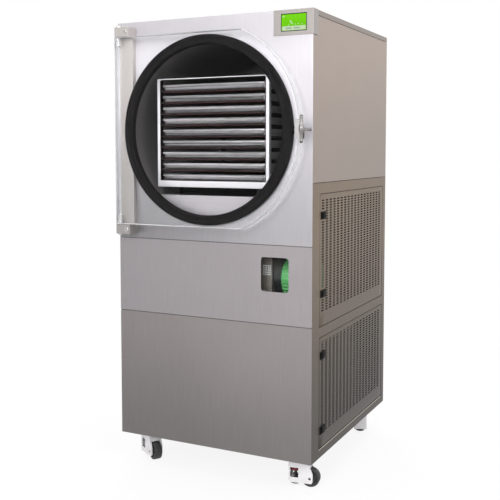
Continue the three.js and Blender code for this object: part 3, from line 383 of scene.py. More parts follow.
def grain_group():
    """Fine scratches of a brushed sheet, long along the small side of Stretch."""
    group, given, result = new_group(
        "Brushed Grain",
        [("Vector", "NodeSocketVector", (0, 0, 0)), ("Stretch", "NodeSocketVector", (900, 900, 14)),
         ("Contrast", "NodeSocketFloat", 1.0)],
        [("Grain", "NodeSocketFloat")])
    stretched = node(group, "ShaderNodeVectorMath", {0: given.outputs["Vector"],
                     1: given.outputs["Stretch"]}, operation="MULTIPLY")
    noise = node(group, "ShaderNodeTexNoise", {"Vector": stretched.outputs[0], "Scale": 1.0,
                 "Detail": 3.0, "Roughness": 0.6})
    centred = node(group, "ShaderNodeMath", {0: noise.outputs["Fac"], 1: 0.5},
                   operation="SUBTRACT")
    grain = node(group, "ShaderNodeMath", {0: centred.outputs[0], 1: given.outputs["Contrast"]},
                 operation="MULTIPLY")
    group.links.new(grain.outputs[0], result.inputs["Grain"])
    return group


def cloud_group():
    """Soft blotches from handling and rolling, from 0 to 1."""
    group, given, result = new_group(
        "Soft Clouds",
        [("Vector", "NodeSocketVector", (0, 0, 0)), ("Scale", "NodeSocketFloat", 4.0),
         ("Sharpness", "NodeSocketFloat", 1.6)],
        [("Clouds", "NodeSocketFloat")])
    noise = node(group, "ShaderNodeTexNoise", {"Vector": given.outputs["Vector"],
                 "Scale": given.outputs["Scale"], "Detail": 4.0, "Roughness": 0.55,
                 "Distortion": 0.4})
    centred = node(group, "ShaderNodeMath", {0: noise.outputs["Fac"], 1: 0.5},
                   operation="SUBTRACT")
    spread = node(group, "ShaderNodeMath", {0: centred.outputs[0],
                  1: given.outputs["Sharpness"]}, operation="MULTIPLY")
    raised = node(group, "ShaderNodeMath", {0: spread.outputs[0], 1: 0.5}, operation="ADD",
                  use_clamp=True)
    group.links.new(raised.outputs[0], result.inputs["Clouds"])
    return group


def fade_group():
    """A slow change of tone along one direction, from 0 at Start to 1 at End."""
    group, given, result = new_group(
        "Slow Fade",
        [("Vector", "NodeSocketVector", (0, 0, 0)), ("Direction", "NodeSocketVector", (0, 0, 1)),
         ("Start", "NodeSocketFloat", 0.0), ("End", "NodeSocketFloat", 1.0)],
        [("Fade", "NodeSocketFloat")])
    along = node(group, "ShaderNodeVectorMath", {0: given.outputs["Vector"],
                 1: given.outputs["Direction"]}, operation="DOT_PRODUCT")
    fade = node(group, "ShaderNodeMapRange", {"Value": along.outputs["Value"],
                "From Min": given.outputs["Start"], "From Max": given.outputs["End"]},
                interpolation_type="SMOOTHSTEP")
    group.links.new(fade.outputs["Result"], result.inputs["Fade"])
    return group


def pebble_group():
    """Height of the fine orange peel of paint, rubber and moulded plastic."""
    group, given, result = new_group(
        "Fine Pebble",
        [("Vector", "NodeSocketVector", (0, 0, 0)), ("Scale", "NodeSocketFloat", 600.0),
         ("Height", "NodeSocketFloat", 1.0)],
        [("Height", "NodeSocketFloat")])
    noise = node(group, "ShaderNodeTexNoise", {"Vector": given.outputs["Vector"],
                 "Scale": given.outputs["Scale"], "Detail": 2.0})
    height = node(group, "ShaderNodeMath", {0: noise.outputs["Fac"],
                  1: given.outputs["Height"]}, operation="MULTIPLY")
    group.links.new(height.outputs[0], result.inputs["Height"])
    return group


def dust_group():
    """Dust that settles in patches on faces that look up."""
    group, given, result = new_group(
        "Settled Dust",
        [("Vector", "NodeSocketVector", (0, 0, 0)), ("Amount", "NodeSocketFloat", 0.4),
         ("Scale", "NodeSocketFloat", 30.0)],
        [("Dust", "NodeSocketFloat")])
    facing = node(group, "ShaderNodeNewGeometry")
    parts = node(group, "ShaderNodeSeparateXYZ", {0: facing.outputs["Normal"]})
    upward = node(group, "ShaderNodeMapRange", {"Value": parts.outputs["Z"], "From Min": 0.3,
                  "From Max": 1.0})
    noise = node(group, "ShaderNodeTexNoise", {"Vector": given.outputs["Vector"],
                 "Scale": given.outputs["Scale"], "Detail": 5.0})
    patchy = node(group, "ShaderNodeMath", {0: upward.outputs["Result"],
                  1: noise.outputs["Fac"]}, operation="MULTIPLY")
    amount = node(group, "ShaderNodeMath", {0: patchy.outputs[0],
                  1: given.outputs["Amount"]}, operation="MULTIPLY", use_clamp=True)
    group.links.new(amount.outputs[0], result.inputs["Dust"])
    return group


def patch_group():
    """1 inside a box, 0 outside."""
    group, given, result = new_group(
        "Box Patch",
        [("Vector", "NodeSocketVector", (0, 0, 0)), ("Centre", "NodeSocketVector", (0, 0, 0)),
         ("Half Size", "NodeSocketVector", (0.01, 1, 0.01))],
        [("Mask", "NodeSocketFloat")])
    offset = node(group, "ShaderNodeVectorMath", {0: given.outputs["Vector"],
                  1: given.outputs["Centre"]}, operation="SUBTRACT")
    size = node(group, "ShaderNodeVectorMath", {0: offset.outputs[0]}, operation="ABSOLUTE")
    room = node(group, "ShaderNodeVectorMath", {0: given.outputs["Half Size"],
                1: size.outputs[0]}, operation="SUBTRACT")
    sides = node(group, "ShaderNodeSeparateXYZ", {0: room.outputs[0]})
    flat = node(group, "ShaderNodeMath", {0: sides.outputs["X"], 1: sides.outputs["Z"]},
                operation="MINIMUM")
    nearest = node(group, "ShaderNodeMath", {0: flat.outputs[0], 1: sides.outputs["Y"]},
                   operation="MINIMUM")
    inside = node(group, "ShaderNodeMath", {0: nearest.outputs[0], 1: 0.0},
                  operation="GREATER_THAN")
    group.links.new(inside.outputs[0], result.inputs["Mask"])
    return group


GROUP_MAKERS = {
    "Brushed Grain": grain_group, "Soft Clouds": cloud_group, "Slow Fade": fade_group,
    "Fine Pebble": pebble_group, "Settled Dust": dust_group, "Box Patch": patch_group,
}


def place_group(tree, name, links):
    """Places a shader group in a material, making the group on its first use."""
    group = bpy.data.node_groups.get(name) or GROUP_MAKERS[name]()
    return node(tree, "ShaderNodeGroup", links, node_tree=group)


# ---- Materials ----
class Finish:
    """A material in the making: its tree, its shader and its object coordinates."""

    def __init__(self, name, metallic=0.0, roughness=0.5, **constants):
        self.material = bpy.data.materials.new(name)
        self.material.use_nodes = True
        self.tree = self.material.node_tree
        self.shader = self.tree.nodes["Principled BSDF"]
        self.place = self.tree.nodes.new("ShaderNodeTexCoord").outputs["Object"]
        self.shader.inputs["Metallic"].default_value = metallic
        self.shader.inputs["Roughness"].default_value = roughness
        for socket, value in constants.items():
            self.shader.inputs[socket.replace("_", " ")].default_value = value

    def group(self, name, **values):
        """The first output of a shader group that reads this piece's coordinates."""
        links = {"Vector": self.place}
        links.update({key.replace("_", " "): value for key, value in values.items()})
        return place_group(self.tree, name, links).outputs[0]

    def mix(self, factor, first, second):
        """A colour between two colours, or two sockets."""
        mixed = self.tree.nodes.new("ShaderNodeMix")
        mixed.data_type = "RGBA"
        for socket, source in ((0, factor), (6, first), (7, second)):
            if hasattr(source, "is_output"):
                self.tree.links.new(source, mixed.inputs[socket])
            elif socket == 0:
                mixed.inputs[0].default_value = source
            else:
                mixed.inputs[socket].default_value = (*source, 1)
        return mixed.outputs[2]

    def corners(self, tones, span, sideways):
        """A tone that runs between four corners of a box, painted light and shade across it, or a single
        tone.
        """
        if len(tones) == 1:
            return self.mix(0.0, tones[0], tones[0])
        low, high = Vector(span[0]), Vector(span[1])
        along = self.group("Slow Fade", Direction=tuple(sideways), Start=low.dot(sideways),
                           End=high.dot(sideways))
        upward = self.group("Slow Fade", Start=low.z, End=high.z)
        foot = self.mix(along, tones[0], tones[1])
        head = self.mix(along, tones[2], tones[3])
        return self.mix(upward, foot, head)

    def shift(self, value, gain, offset):
        """A socket's value times gain plus offset, kept between 0 and 1."""
        return node(self.tree, "ShaderNodeMath", {0: value, 1: gain, 2: offset},
                    operation="MULTIPLY_ADD", use_clamp=True).outputs[0]

    def feed(self, socket, source):
        """Links a source to one of the shader's sockets."""
        self.tree.links.new(source, self.shader.inputs[socket])

    def bump(self, height, distance, strength=0.4):
        """Raises the surface by a height."""
        raised = node(self.tree, "ShaderNodeBump", {"Height": height, "Distance": distance,
                      "Strength": strength})
        self.feed("Normal", raised.outputs["Normal"])


def brushed(name, tones, stretch, metallic, roughness, span=((0, 0, 0), (1, 1, 1)),
            sideways=(1, 0, 0), clouds=3.0, blotch=0.12, contrast=0.5, sparkle=0.2, dust=0.0,
            depth=None, crown=None, patch=None, **constants):
    """Brushed sheet steel: four corner tones of painted light and shade, clouds, fine grain, and painted
    shade with depth.

    The tones are those at the foot's start and end, then at the head's start and end, painted to follow
    how the light falls. Sparkle is how far the light scratches go to white. A painted top shade is the
    tone that the sheet takes towards its top, and a patch is a box with a tone of its own, used for
    painted shade and for a painted highlight."""
    finish = Finish(name, metallic=metallic, **constants)
    # Painted light and shade: the sheet's tone runs between four corner tones.
    colour = finish.corners(tones, span, Vector(sideways))
    # Painted shade towards the sheet's top.
    if crown:
        start, end, tone = crown
        rise = finish.group("Slow Fade", Start=start, End=end)
        colour = finish.mix(rise, colour, tone)
    blotches = finish.group("Soft Clouds", Scale=clouds)
    colour = finish.mix(finish.shift(blotches, -blotch, blotch), colour, (0, 0, 0))
    grain = finish.group("Brushed Grain", Stretch=stretch, Contrast=contrast)
    bright = finish.shift(grain, 1.0, 0.5)
    colour = finish.mix(bright, finish.mix(0.28, colour, (0, 0, 0)),
                        finish.mix(sparkle, colour, (1, 1, 1)))
    if dust:
        settled = finish.group("Settled Dust", Amount=dust)
        colour = finish.mix(settled, colour, (0.42, 0.4, 0.37))
    # Painted shade: the colour darkens towards the shade tone further back along y.
    if depth:
        start, end, shade = depth
        deep = finish.group("Slow Fade", Direction=(0, 1, 0), Start=start, End=end)
        colour = finish.mix(deep, colour, shade)
    # A box in a tone of its own: painted shade on the rack's shelves, a painted highlight on the vent
    # sill.
    if patch:
        centre, half, tone = patch
        mask = finish.group("Box Patch", Centre=tuple(centre), Half_Size=tuple(half))
        colour = finish.mix(mask, colour, tone)
    finish.feed("Base Color", colour)
    finish.feed("Roughness", finish.shift(grain, 0.5, roughness))
    finish.bump(grain, 0.00006, 0.35)
    return finish.material


def moulded(name, colour, roughness=0.45, pebble=500.0, height=0.00012, metallic=0.0, dust=0.0,
            mottle=0.1, **constants):
    """Paint, rubber or moulded plastic: slightly mottled, with a fine orange peel."""
    finish = Finish(name, metallic=metallic, **constants)
    blotches = finish.group("Soft Clouds", Scale=14.0)
    shade = [part * (1 - mottle) for part in colour]
    tone = finish.mix(blotches, shade, [min(1, part * (1 + mottle)) for part in colour])
    if dust:
        settled = finish.group("Settled Dust", Amount=dust)
        tone = finish.mix(settled, tone, (0.45, 0.43, 0.4))
    finish.feed("Base Color", tone)
    finish.feed("Roughness", finish.shift(blotches, 0.14, roughness - 0.07))
    finish.bump(finish.group("Fine Pebble", Scale=pebble), height, 0.5)
    return finish.material


def polished(name, colour, roughness=0.14):
    """Polished or plated metal with faint handling marks."""
    finish = Finish(name, metallic=1.0)
    marks = finish.group("Soft Clouds", Scale=45.0, Sharpness=2.2)
    finish.feed("Base Color", finish.mix(marks, [part * 0.9 for part in colour], colour))
    finish.feed("Roughness", finish.shift(marks, 0.12, roughness))
    finish.bump(finish.group("Fine Pebble", Scale=900.0), 0.00002, 0.2)
    return finish.material


def clear_sheet(name, colour, roughness, ior):
    """Clear cast sheet that lets shadow rays pass."""
    finish = Finish(name, roughness=roughness)
    finish.shader.inputs["Base Color"].default_value = (*colour, 1)
    finish.shader.inputs["Transmission Weight"].default_value = 1.0
    finish.shader.inputs["IOR"].default_value = ior
    smears = finish.group("Soft Clouds", Scale=9.0, Sharpness=2.5)
    finish.feed("Roughness", finish.shift(smears, 0.03, roughness))
    tree = finish.tree
    ray = tree.nodes.new("ShaderNodeLightPath")
    through = tree.nodes.new("ShaderNodeBsdfTransparent")
    through.inputs["Color"].default_value = (0.97, 0.98, 0.98, 1)
    mixed = tree.nodes.new("ShaderNodeMixShader")
    tree.links.new(ray.outputs["Is Shadow Ray"], mixed.inputs[0])
    tree.links.new(finish.shader.outputs[0], mixed.inputs[1])
    tree.links.new(through.outputs[0], mixed.inputs[2])
    tree.links.new(mixed.outputs[0], tree.nodes["Material Output"].inputs["Surface"])
    return finish.material


def edge_highlight_sheet(name, colour, transmission, roughness):
    """The sawn and polished edge of a clear sheet, partly white and opaque: a painted highlight where
    the rounded edge catches the light.
    """
    finish = Finish(name)
    finish.shader.inputs["Base Color"].default_value = (*colour, 1)
    finish.shader.inputs["Transmission Weight"].default_value = transmission
    finish.shader.inputs["IOR"].default_value = 1.49
    marks = finish.group("Brushed Grain", Stretch=(160, 900, 160), Contrast=1.0)
    finish.feed("Roughness", finish.shift(marks, 0.1, roughness))
    return finish.material


def rolled(name, colour, depth):
    """Rolled sheet with painted reflections as broad dark and light streaks along its length, fine
    scratches, and painted shade deeper in.
    """
    finish = Finish(name, metallic=0.6)
    # Painted reflection: broad dark and light streaks stand in for what the shiny tray mirrors.
    painted_reflection = finish.group("Brushed Grain", Stretch=(2.2, 60, 260), Contrast=3.4)
    grain = finish.group("Brushed Grain", Stretch=(30, 900, 900), Contrast=0.5)
    tone = finish.mix(finish.shift(painted_reflection, 1.0, 0.45), *shades(colour, 0.05, 1.15))
    tone = finish.mix(finish.shift(grain, 1.0, 0.1), tone, (1, 1, 1))
    # Painted shade: the tray darkens deeper into the chamber.
    start, end, shade = depth
    deep = finish.group("Slow Fade", Direction=(0, 1, 0), Start=start, End=end)
    finish.feed("Base Color", finish.mix(deep, tone, shade))
    finish.feed("Roughness", finish.shift(grain, 0.4, 0.3))
    finish.bump(grain, 0.00005, 0.3)
    return finish.material


def display(name, green, low, high):
    """A lit touch screen with a plain layout: a mark, a row of fields and a foot strip."""
    finish = Finish(name, roughness=0.18, Specular_IOR_Level=0.1)
    width, height = high.x - low.x, high.z - low.z
    tone = finish.mix(finish.group("Slow Fade", Start=low.z, End=high.z),
                      [part * 0.82 for part in green], green)
    patches = [  # centre and half size as shares of the display's width and height
        (0.50, 0.165, 0.46, 0.12), (0.40, 0.50, 0.030, 0.055), (0.36, 0.58, 0.018, 0.035),
        (0.44, 0.42, 0.020, 0.030), (0.10, 0.86, 0.030, 0.035), (0.30, 0.36, 0.016, 0.024),
        (0.56, 0.38, 0.020, 0.024), (0.68, 0.40, 0.022, 0.026), (0.82, 0.38, 0.018, 0.024),
    ]
    for across, up, half_width, half_height in patches:
        mask = finish.group(
            "Box Patch",
            Centre=(low.x + across * width, low.y, low.z + up * height),
            Half_Size=(half_width * width, 1, half_height * height))
        tone = finish.mix(mask, tone, (0.50, 0.63, 0.40))
    for across in (0.30, 0.62):
        mask = finish.group(
            "Box Patch", Centre=(low.x + across * width, low.y, low.z + 0.165 * height),
            Half_Size=(0.12 * width, 1, 0.045 * height))
        tone = finish.mix(mask, tone, (0.30, 0.36, 0.34))
    finish.feed("Base Color", finish.mix(0.75, tone, (0, 0, 0)))
    finish.feed("Emission Color", tone)
    finish.shader.inputs["Emission Strength"].default_value = 0.8
    finish.feed("Roughness", finish.shift(finish.group("Soft Clouds", Scale=30.0), 0.1, 0.12))
    return finish.material


MATERIALS = {}


def coat(name):
    """A finish by its short name. All finishes are made on the first call."""
    if not MATERIALS:
        make_materials(bpy.context.scene.dryer_colours)
    return MATERIALS[name]


def shades(colour, *levels):
    """A colour at several levels of brightness."""
    return [tuple(level * part for part in colour) for level in levels]


def panel_steel(name, node_name, colour, levels, sideways=(1, 0, 0), **values):
    """Brushed steel for one sheet, with a level of painted light for each of its corners."""
    return brushed(name, shades(colour, *levels), (620, 620, 9), 0.55, 0.38,
                   span=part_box(node_name), sideways=sideways, **values)


def make_materials(colours):
    """Makes every finish from the chosen colours."""
    front, side = colours.front_steel, colours.side_steel
    warm, rail = colours.warm_steel, colours.rail_steel
    rack_low, rack_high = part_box("tray_rack")
    rack_front = rack_low.y
    rack_foot = Vector((rack_high.x, rack_high.y, rack_low.z + 0.06))
    rack_centre = (rack_low + rack_high) / 2
    # Painted shade: the rack's shelves between its posts take the dark inside colour.
    painted_shelf_shade = (rack_centre + Vector((0, 0, 0.021)),
               (rack_high - rack_low) / 2 - Vector((0.011, -1, 0.027)), colours.inside)
    # Painted shade: the rack's outer sides and the tray ends darken from 80 to 220 mm behind the rack's
    # front.
    painted_side_shade = (rack_front + 0.08, rack_front + 0.22, colours.inside)
    plate_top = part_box("upper_front_plate")[1].z
    # Painted shade: the upper plate darkens in a band below its top.
    crown = (plate_top - 0.16, plate_top - 0.07, shades(front, 1.15)[0])
    vent_low, vent_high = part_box("lower_vent_door")
    # Painted highlight: a thin bright band along the foot of the lower vent door's opening.
    painted_sill_highlight = ((vent_low + vent_high) / 2 - Vector((0, 0, (vent_high.z - vent_low.z) / 2
                                                      - 0.0015)),
                 ((vent_high - vent_low) / 2).to_2d().to_3d() + Vector((1, 0, 0.0017)),
                 (0.38, 0.35, 0.28))
    # Painted shade: rack and trays darken from 3 to 16 mm behind the rack's front.
    inside = (rack_front + 0.003, rack_front + 0.016, colours.inside)
    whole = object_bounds()
    backwards = (0, 1, 0)
    MATERIALS.update({
        # Painted light and shade: each sheet's four corner levels follow how the light falls across it.
        "upper front": panel_steel("Upper front steel", "upper_front_plate", front,
                                   (0.32, 0.70, 1.42, 1.28), crown=crown),
        "middle front": panel_steel("Middle front steel", "middle_front_panel", warm,
                                    (0.76, 0.91, 0.82, 0.95), sparkle=0.17),
        "lower front": panel_steel("Lower front steel", "lower_front_panel", colours.foot_steel,
                                   (0.37, 0.48, 0.64, 0.84), sparkle=0.12),
        "upper side": panel_steel("Upper side steel", "right_upper_panel", side,
                                  (0.84, 0.78, 1.16, 1.11), backwards, sparkle=0.13),
        # Painted shade: the vent doors and the sheet round them darken strongly towards their foot.
        "door frame": panel_steel("Door frame steel", "right_door_frame", rail,
                                  (0.11, 0.11, 0.62, 0.58), backwards, sparkle=0.03,
                                  patch=painted_sill_highlight, Specular_IOR_Level=0.25),
        "vent": panel_steel("Vent door steel", "right_door_frame", rail,
                            (0.10, 0.10, 0.60, 0.54), backwards, sparkle=0.03,
                            Specular_IOR_Level=0.25),
        # Painted shade: the plain sides and the back darken towards their foot.
        "plain side": brushed("Plain side steel", shades(side, 0.5, 0.5, 1.0, 1.0),
                              (620, 620, 9), 0.55, 0.4, span=whole, sideways=backwards),
        # Painted shade: the top cover takes the side steel darkened to two thirds.
        "top": brushed("Brushed top", shades(side, 0.66), (620, 9, 620), 0.55, 0.4, dust=0.35),
        "bezel": brushed("Bezel steel", [colours.bezel_steel], (620, 620, 9), 0.5, 0.36),
        # Painted shade: the hinge bar darkens towards its foot.
        "hinge": panel_steel("Hinge steel", "hinge_bar", colours.hinge_steel,
                             (0.62, 0.62, 1.05, 1.05)),
        "frame": brushed("Frame steel", [colours.frame_steel], (300, 300, 300), 0.6, 0.42,
                         clouds=9.0, dust=0.3),
        # Painted reflection and painted shade on the trays.
        "tray": rolled("Rolled tray steel", colours.tray_steel, inside),
        # Painted shade: the rack darkens towards its foot, deeper in, and over its shelves.
        "rack": brushed("Rack steel", shades(colours.rack_steel, 0.66, 0.66, 1, 1),
                        (620, 620, 9), 0.45, 0.34, span=(rack_low, rack_foot), clouds=8.0,
                        depth=inside, patch=painted_shelf_shade),
        # Painted shade deeper in on the rack's sides and the tray ends.
        "rack side": brushed("Rack side steel", [colours.rack_steel], (620, 620, 9),
                             0.45, 0.34, clouds=8.0, depth=painted_side_shade),
        "tray side": brushed("Tray end steel", [colours.rack_steel], (620, 7, 620),
                             0.45, 0.34, clouds=8.0, depth=painted_side_shade),
        # Painted shade: the near-black finish of the faces inside the cabinet.
        "inner_shade": moulded("Inner face shade", colours.inner_shade, 0.9, 260.0, 0.0006, mottle=0.2,
                          Specular_IOR_Level=0.1),
        "handle": polished("Handle steel", colours.handle_steel, 0.2),
        "pump": moulded("Cast pump cover", colours.pump_grey, 0.5, 300.0, dust=0.2),
        # Painted highlight on the acrylic door's edge and rounded rims.
        "door edge": edge_highlight_sheet("Acrylic edge highlight", (0.93, 0.93, 0.95), 0.35, 0.3),
        "door bevel": edge_highlight_sheet("Acrylic bevel highlight", (0.8, 0.8, 0.82), 0.7, 0.1),
        # Painted shade: the apron darkens from just before the rack's front to 10 mm behind it.
        "apron": brushed("Apron steel", [colours.apron_steel], (9, 620, 620), 0.5, 0.36,
                         clouds=8.0, depth=(rack_front - 0.006, rack_front + 0.01,
                                            colours.inside)),
        # Painted shade: the chamber's walls are near-black.
        "chamber": brushed("Chamber painted shade", [colours.chamber], (500, 20, 500), 0.15, 0.5,
                           clouds=5.0, blotch=0.3, Specular_IOR_Level=0.15),
        "rubber": moulded("Gasket rubber", colours.rubber, 0.6, mottle=0.2,
                          Specular_IOR_Level=0.08),
        "polish": polished("Polished steel", colours.polish),
        "plastic": moulded("Black plastic", colours.black_plastic, 0.5,
                           Specular_IOR_Level=0.06),
        "green": moulded("Green paint", colours.motor_green, 0.38, 300.0, dust=0.25),
        "black": moulded("Black paint", colours.pump_black, 0.42, 300.0, dust=0.3),
        "heater": moulded("Heater silicone", colours.heater_red, 0.55),
        "copper": polished("Copper pipe", colours.copper, 0.3),
        "ivory": moulded("Ivory nylon", colours.ivory, 0.42, dust=0.1, mottle=0.04),
        "tyre": moulded("Wheel tyre", colours.tyre, 0.55, dust=0.25),
        "thumb": moulded("Thumbwheel red", colours.thumb_red, 0.35),
        "enclosure": moulded("Enclosure paint", colours.enclosure, 0.45, 350.0, dust=0.3,
                             mottle=0.04),
        "fins": brushed("Condenser fins", [colours.fin_aluminium], (400, 400, 400), 0.7, 0.4,
                        dust=0.3),
        "acrylic": clear_sheet("Clear acrylic", (0.985, 0.99, 0.992), 0.0, 1.12),
        "pane": clear_sheet("Sight pane", (0.97, 0.99, 0.98), 0.0, 1.12),
        "label": moulded("Plain marks", colours.marks, 0.4, mottle=0.02),
        "display": display("Touch display", colours.screen_green, *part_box("hmi_screen")),
    })


# ---- Cabinet ----
SHEETS = (
    # frame node, piece, finish, the way its bare face looks
    ("upper_front_plate", "upper_plate_sheet", "upper front", (0, -1, 0)),
    ("middle_front_panel", "middle_panel_sheet", "middle front", (0, -1, 0)),
    ("lower_front_panel", "lower_panel_sheet", "lower front", (0, -1, 0)),
    ("right_upper_panel", "right_upper_sheet", "upper side", (1, 0, 0)),
    ("right_door_frame", "right_frame_sheet", "door frame", (1, 0, 0)),
    ("left_upper_panel", "left_upper_sheet", "plain side", (-1, 0, 0)),
    ("left_lower_panel", "left_lower_sheet", "plain side", (-1, 0, 0)),
    ("back_panel", "back_sheet", "plain side", (0, 1, 0)),
    ("top_cover", "cover_sheet", "top", (0, 0, 1)),
)


def refinish(piece, finish, test):
    """Gives the faces that pass a test another finish."""
    piece.data.materials.append(coat(finish))
    index = len(piece.data.materials) - 1
    for face in piece.data.polygons:
        if test(face):
            face.material_index = index


def shade_inside(piece, outward):
    """Paints shade on the faces that look into the cabinet: they take a near-black finish."""
    outward = Vector(outward)
    refinish(piece, "inner_shade", lambda face: face.normal.dot(outward) < -0.5)


class DRYER_OT_cabinet(bpy.types.Operator):
    """Builds the cabinet's sheets and its welded frame"""
    bl_idname = "dryer.cabinet"
    bl_label = "Cabinet"

    def execute(self, context):
        sizes = context.scene.dryer_sizes
        for node_name, name, finish, outward in SHEETS:
            sheet = softened(node_name, name, sizes.sheet_edge)
            settle(sheet, "cabinet", "brushed_steel", coat(finish), stands_for=[node_name])
            shade_inside(sheet, outward)
        weldment = softened("base_frame", "welded_frame", sizes.sheet_edge)
        settle(weldment, "cabinet", "frame_steel", coat("frame"), stands_for=["base_frame"])
        self.back_screws()
        return {"FINISHED"}

    def back_screws(self):
        """Screws round the edge of the back sheet."""
        low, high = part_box("back_panel")
        inset = 0.014
        first = screw_head("back_screws", (low.x + inset, high.y, low.z + inset), 0.004, "y")
        heads = [first]
        across, up = 5, 8
        step_x = (high.x - low.x - 2 * inset) / across
        step_z = (high.z - low.z - 2 * inset) / up
        for column in range(across + 1):
            for row in range(up + 1):
                on_edge = column in (0, across) or row in (0, up)
                if on_edge and (column or row):
                    heads.append(twin(first, f"back_screw_{column}_{row}",
                                      (column * step_x, 0, row * step_z)))
        settle(joined("back_screws", *heads), "cabinet", "polished_steel", coat("polish"))


def screw_head(name, seat, radius, axis, height=0.0016):
    """A low domed screw head, seated at a point."""
    return turned(name, [(0, 0), (radius, 0), (radius, 0.35 * height),
                         (0.8 * radius, 0.8 * height), (0.45 * radius, height), (0, height)],
                  seat, axis, 16)


# ---- Vent doors ----
class DRYER_OT_vent_doors(bpy.types.Operator):
    """Builds the two slotted vent doors and their latches"""
    bl_idname = "dryer.vent_doors"
    bl_label = "Vent doors"

    stub: length_property("Pivot stub", "Height of a door's pivot beyond its edge", 6)

    def execute(self, context):
        sizes = context.scene.dryer_sizes
        for vent in ("upper", "lower"):
            door = self.door(sizes, vent)
            settle(door, f"{vent}_vent", "brushed_steel", coat("vent"),
                   stands_for=[f"{vent}_vent_door"])
            shade_inside(door, (1, 0, 0))
        self.latches()
        return {"FINISHED"}

    def door(self, sizes, vent):
        """One pan with rounded slots, folded edges and two pivot stubs."""
        low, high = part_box(f"{vent}_vent_door")
        low.z += self.stub
        high.z -= self.stub
        columns = sizes.slot_columns
        pitch, row_pitch = sizes.slot_pitch, sizes.row_pitch
        rows = int((high.z - low.z - sizes.field_foot - sizes.field_head) / row_pitch)
        land = (pitch - sizes.slot_length) / 2
        rib = (row_pitch - sizes.slot_height) / 2
        width, height = columns * pitch, rows * row_pitch
        front = low.y + sizes.field_front
        bottom = low.z + sizes.field_foot
        latch_rows = [(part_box(f"{vent}_vent_latch_{i}")[0].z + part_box(f"{vent}_vent_latch_{i}")[1].z)
                      / 2 for i in (1, 2)]
        name = f"{vent}_vent_pan"
        bpy.ops.object.select_all(action="DESELECT")
        bpy.ops.mesh.primitive_grid_add(x_subdivisions=columns, y_subdivisions=rows, size=1)
        pan = bpy.context.object
        pan.name = name
        pan.data.name = name
        if len(pan.data.polygons) != columns * rows:
            raise RuntimeError("the grid has another number of cells")
        reach = 0.0125 + rib

        # Cells are stretched so that one inset gives each slot its land and its rib.
        pick(pan, "VERT", lambda vertex: True)
        bpy.ops.transform.resize(value=(width / land, height / rib, 1))
        bpy.ops.object.mode_set(mode="OBJECT")
        scale = Vector((land, rib, 1))
        cell_x = pitch / land

        def opens(face):
            place = face.calc_center_median()
            column = int(place.x / cell_x + columns / 2)
            z = bottom + height / 2 + place.y * rib
            return column > 0 or all(abs(z - latch) > reach for latch in latch_rows)

        pick(pan, "FACE", opens)
        bpy.ops.mesh.inset(thickness=1, use_individual=True, use_even_offset=True)
        bpy.ops.mesh.select_all(action="DESELECT")
        bpy.ops.object.mode_set(mode="OBJECT")
        only(pan)
        pan.scale = scale
        pan.rotation_euler = (math.pi / 2, 0, math.pi / 2)
        pan.location = (high.x, front + width / 2, bottom + height / 2)
        bpy.ops.object.transform_apply(location=True, rotation=True, scale=True)
        slot_area = sizes.slot_length * sizes.slot_height

        def is_slot(face):
            return abs(face.calc_area() - slot_area) < 0.02 * slot_area

        pick(pan, "FACE", is_slot)
        bpy.ops.mesh.bevel(affect="VERTICES", offset=0.45 * sizes.slot_height, segments=2)
        bpy.ops.mesh.select_all(action="DESELECT")
        bpy.ops.object.mode_set(mode="OBJECT")
        pick(pan, "FACE", lambda face: len(face.verts) >= 12)
        bpy.ops.mesh.delete(type="FACE")
        bpy.ops.object.mode_set(mode="OBJECT")
        self.fold(pan, sizes, low, high, front, bottom, width, height)
        pivots = self.pivots(vent, low, high)
        return joined(name, pan, *pivots)

    def fold(self, pan, sizes, low, high, front, bottom, width, height):
        """Draws the border out to the door's edge and folds it inwards."""
        near = 0.00005
        ends = (front, front + width, bottom, bottom + height)

        def on_border(edge):
            return edge.is_boundary and any(
                all(abs(vertex.co[axis] - place) < near for vertex in edge.verts)
                for axis, place in ((1, ends[0]), (1, ends[1]), (2, ends[2]), (2, ends[3])))

        pick(pan, "EDGE", on_border)
        bpy.ops.mesh.extrude_edges_move(TRANSFORM_OT_translate={"value": (0, 0, 0)})
        middle = Vector((high.x, front + width / 2, bottom + height / 2))
        bpy.ops.transform.resize(
            value=(1, (high.y - low.y) / width, (high.z - low.z) / height),
            center_override=middle)
        bpy.ops.transform.translate(value=(0, (low.y + high.y) / 2 - middle.y,
                                           (low.z + high.z) / 2 - middle.z))
        bpy.ops.mesh.extrude_edges_move(
            TRANSFORM_OT_translate={"value": (-sizes.door_fold, 0, 0)})
        bpy.ops.object.mode_set(mode="OBJECT")
        apply_modifier(pan, "BEVEL", width=0.0018, segments=3, limit_method="ANGLE",
                       angle_limit=math.radians(60), use_clamp_overlap=False)
        apply_modifier(pan, "SOLIDIFY", thickness=sizes.door_steel, offset=-1,
                       use_even_offset=True)
        smooth(pan, 40)

    def pivots(self, vent, low, high):
        """The turned stubs that the door swings on."""
        joint = JOINTS[f"{vent}_vent_hinge"]["pos_m"]
        stubs = []
        for end, edge, outward in (("top", high.z, 1), ("foot", low.z, -1)):
            root, tip = edge - outward * 0.002, edge + outward * self.stub
            stubs.append(turned(f"{vent}_pivot_{end}", [
                (0, root), (0.004, root), (0.004, tip - outward * 0.0006),
                (0.0034, tip), (0, tip)], (joint[0], joint[1], 0), "z", 20))
        return stubs

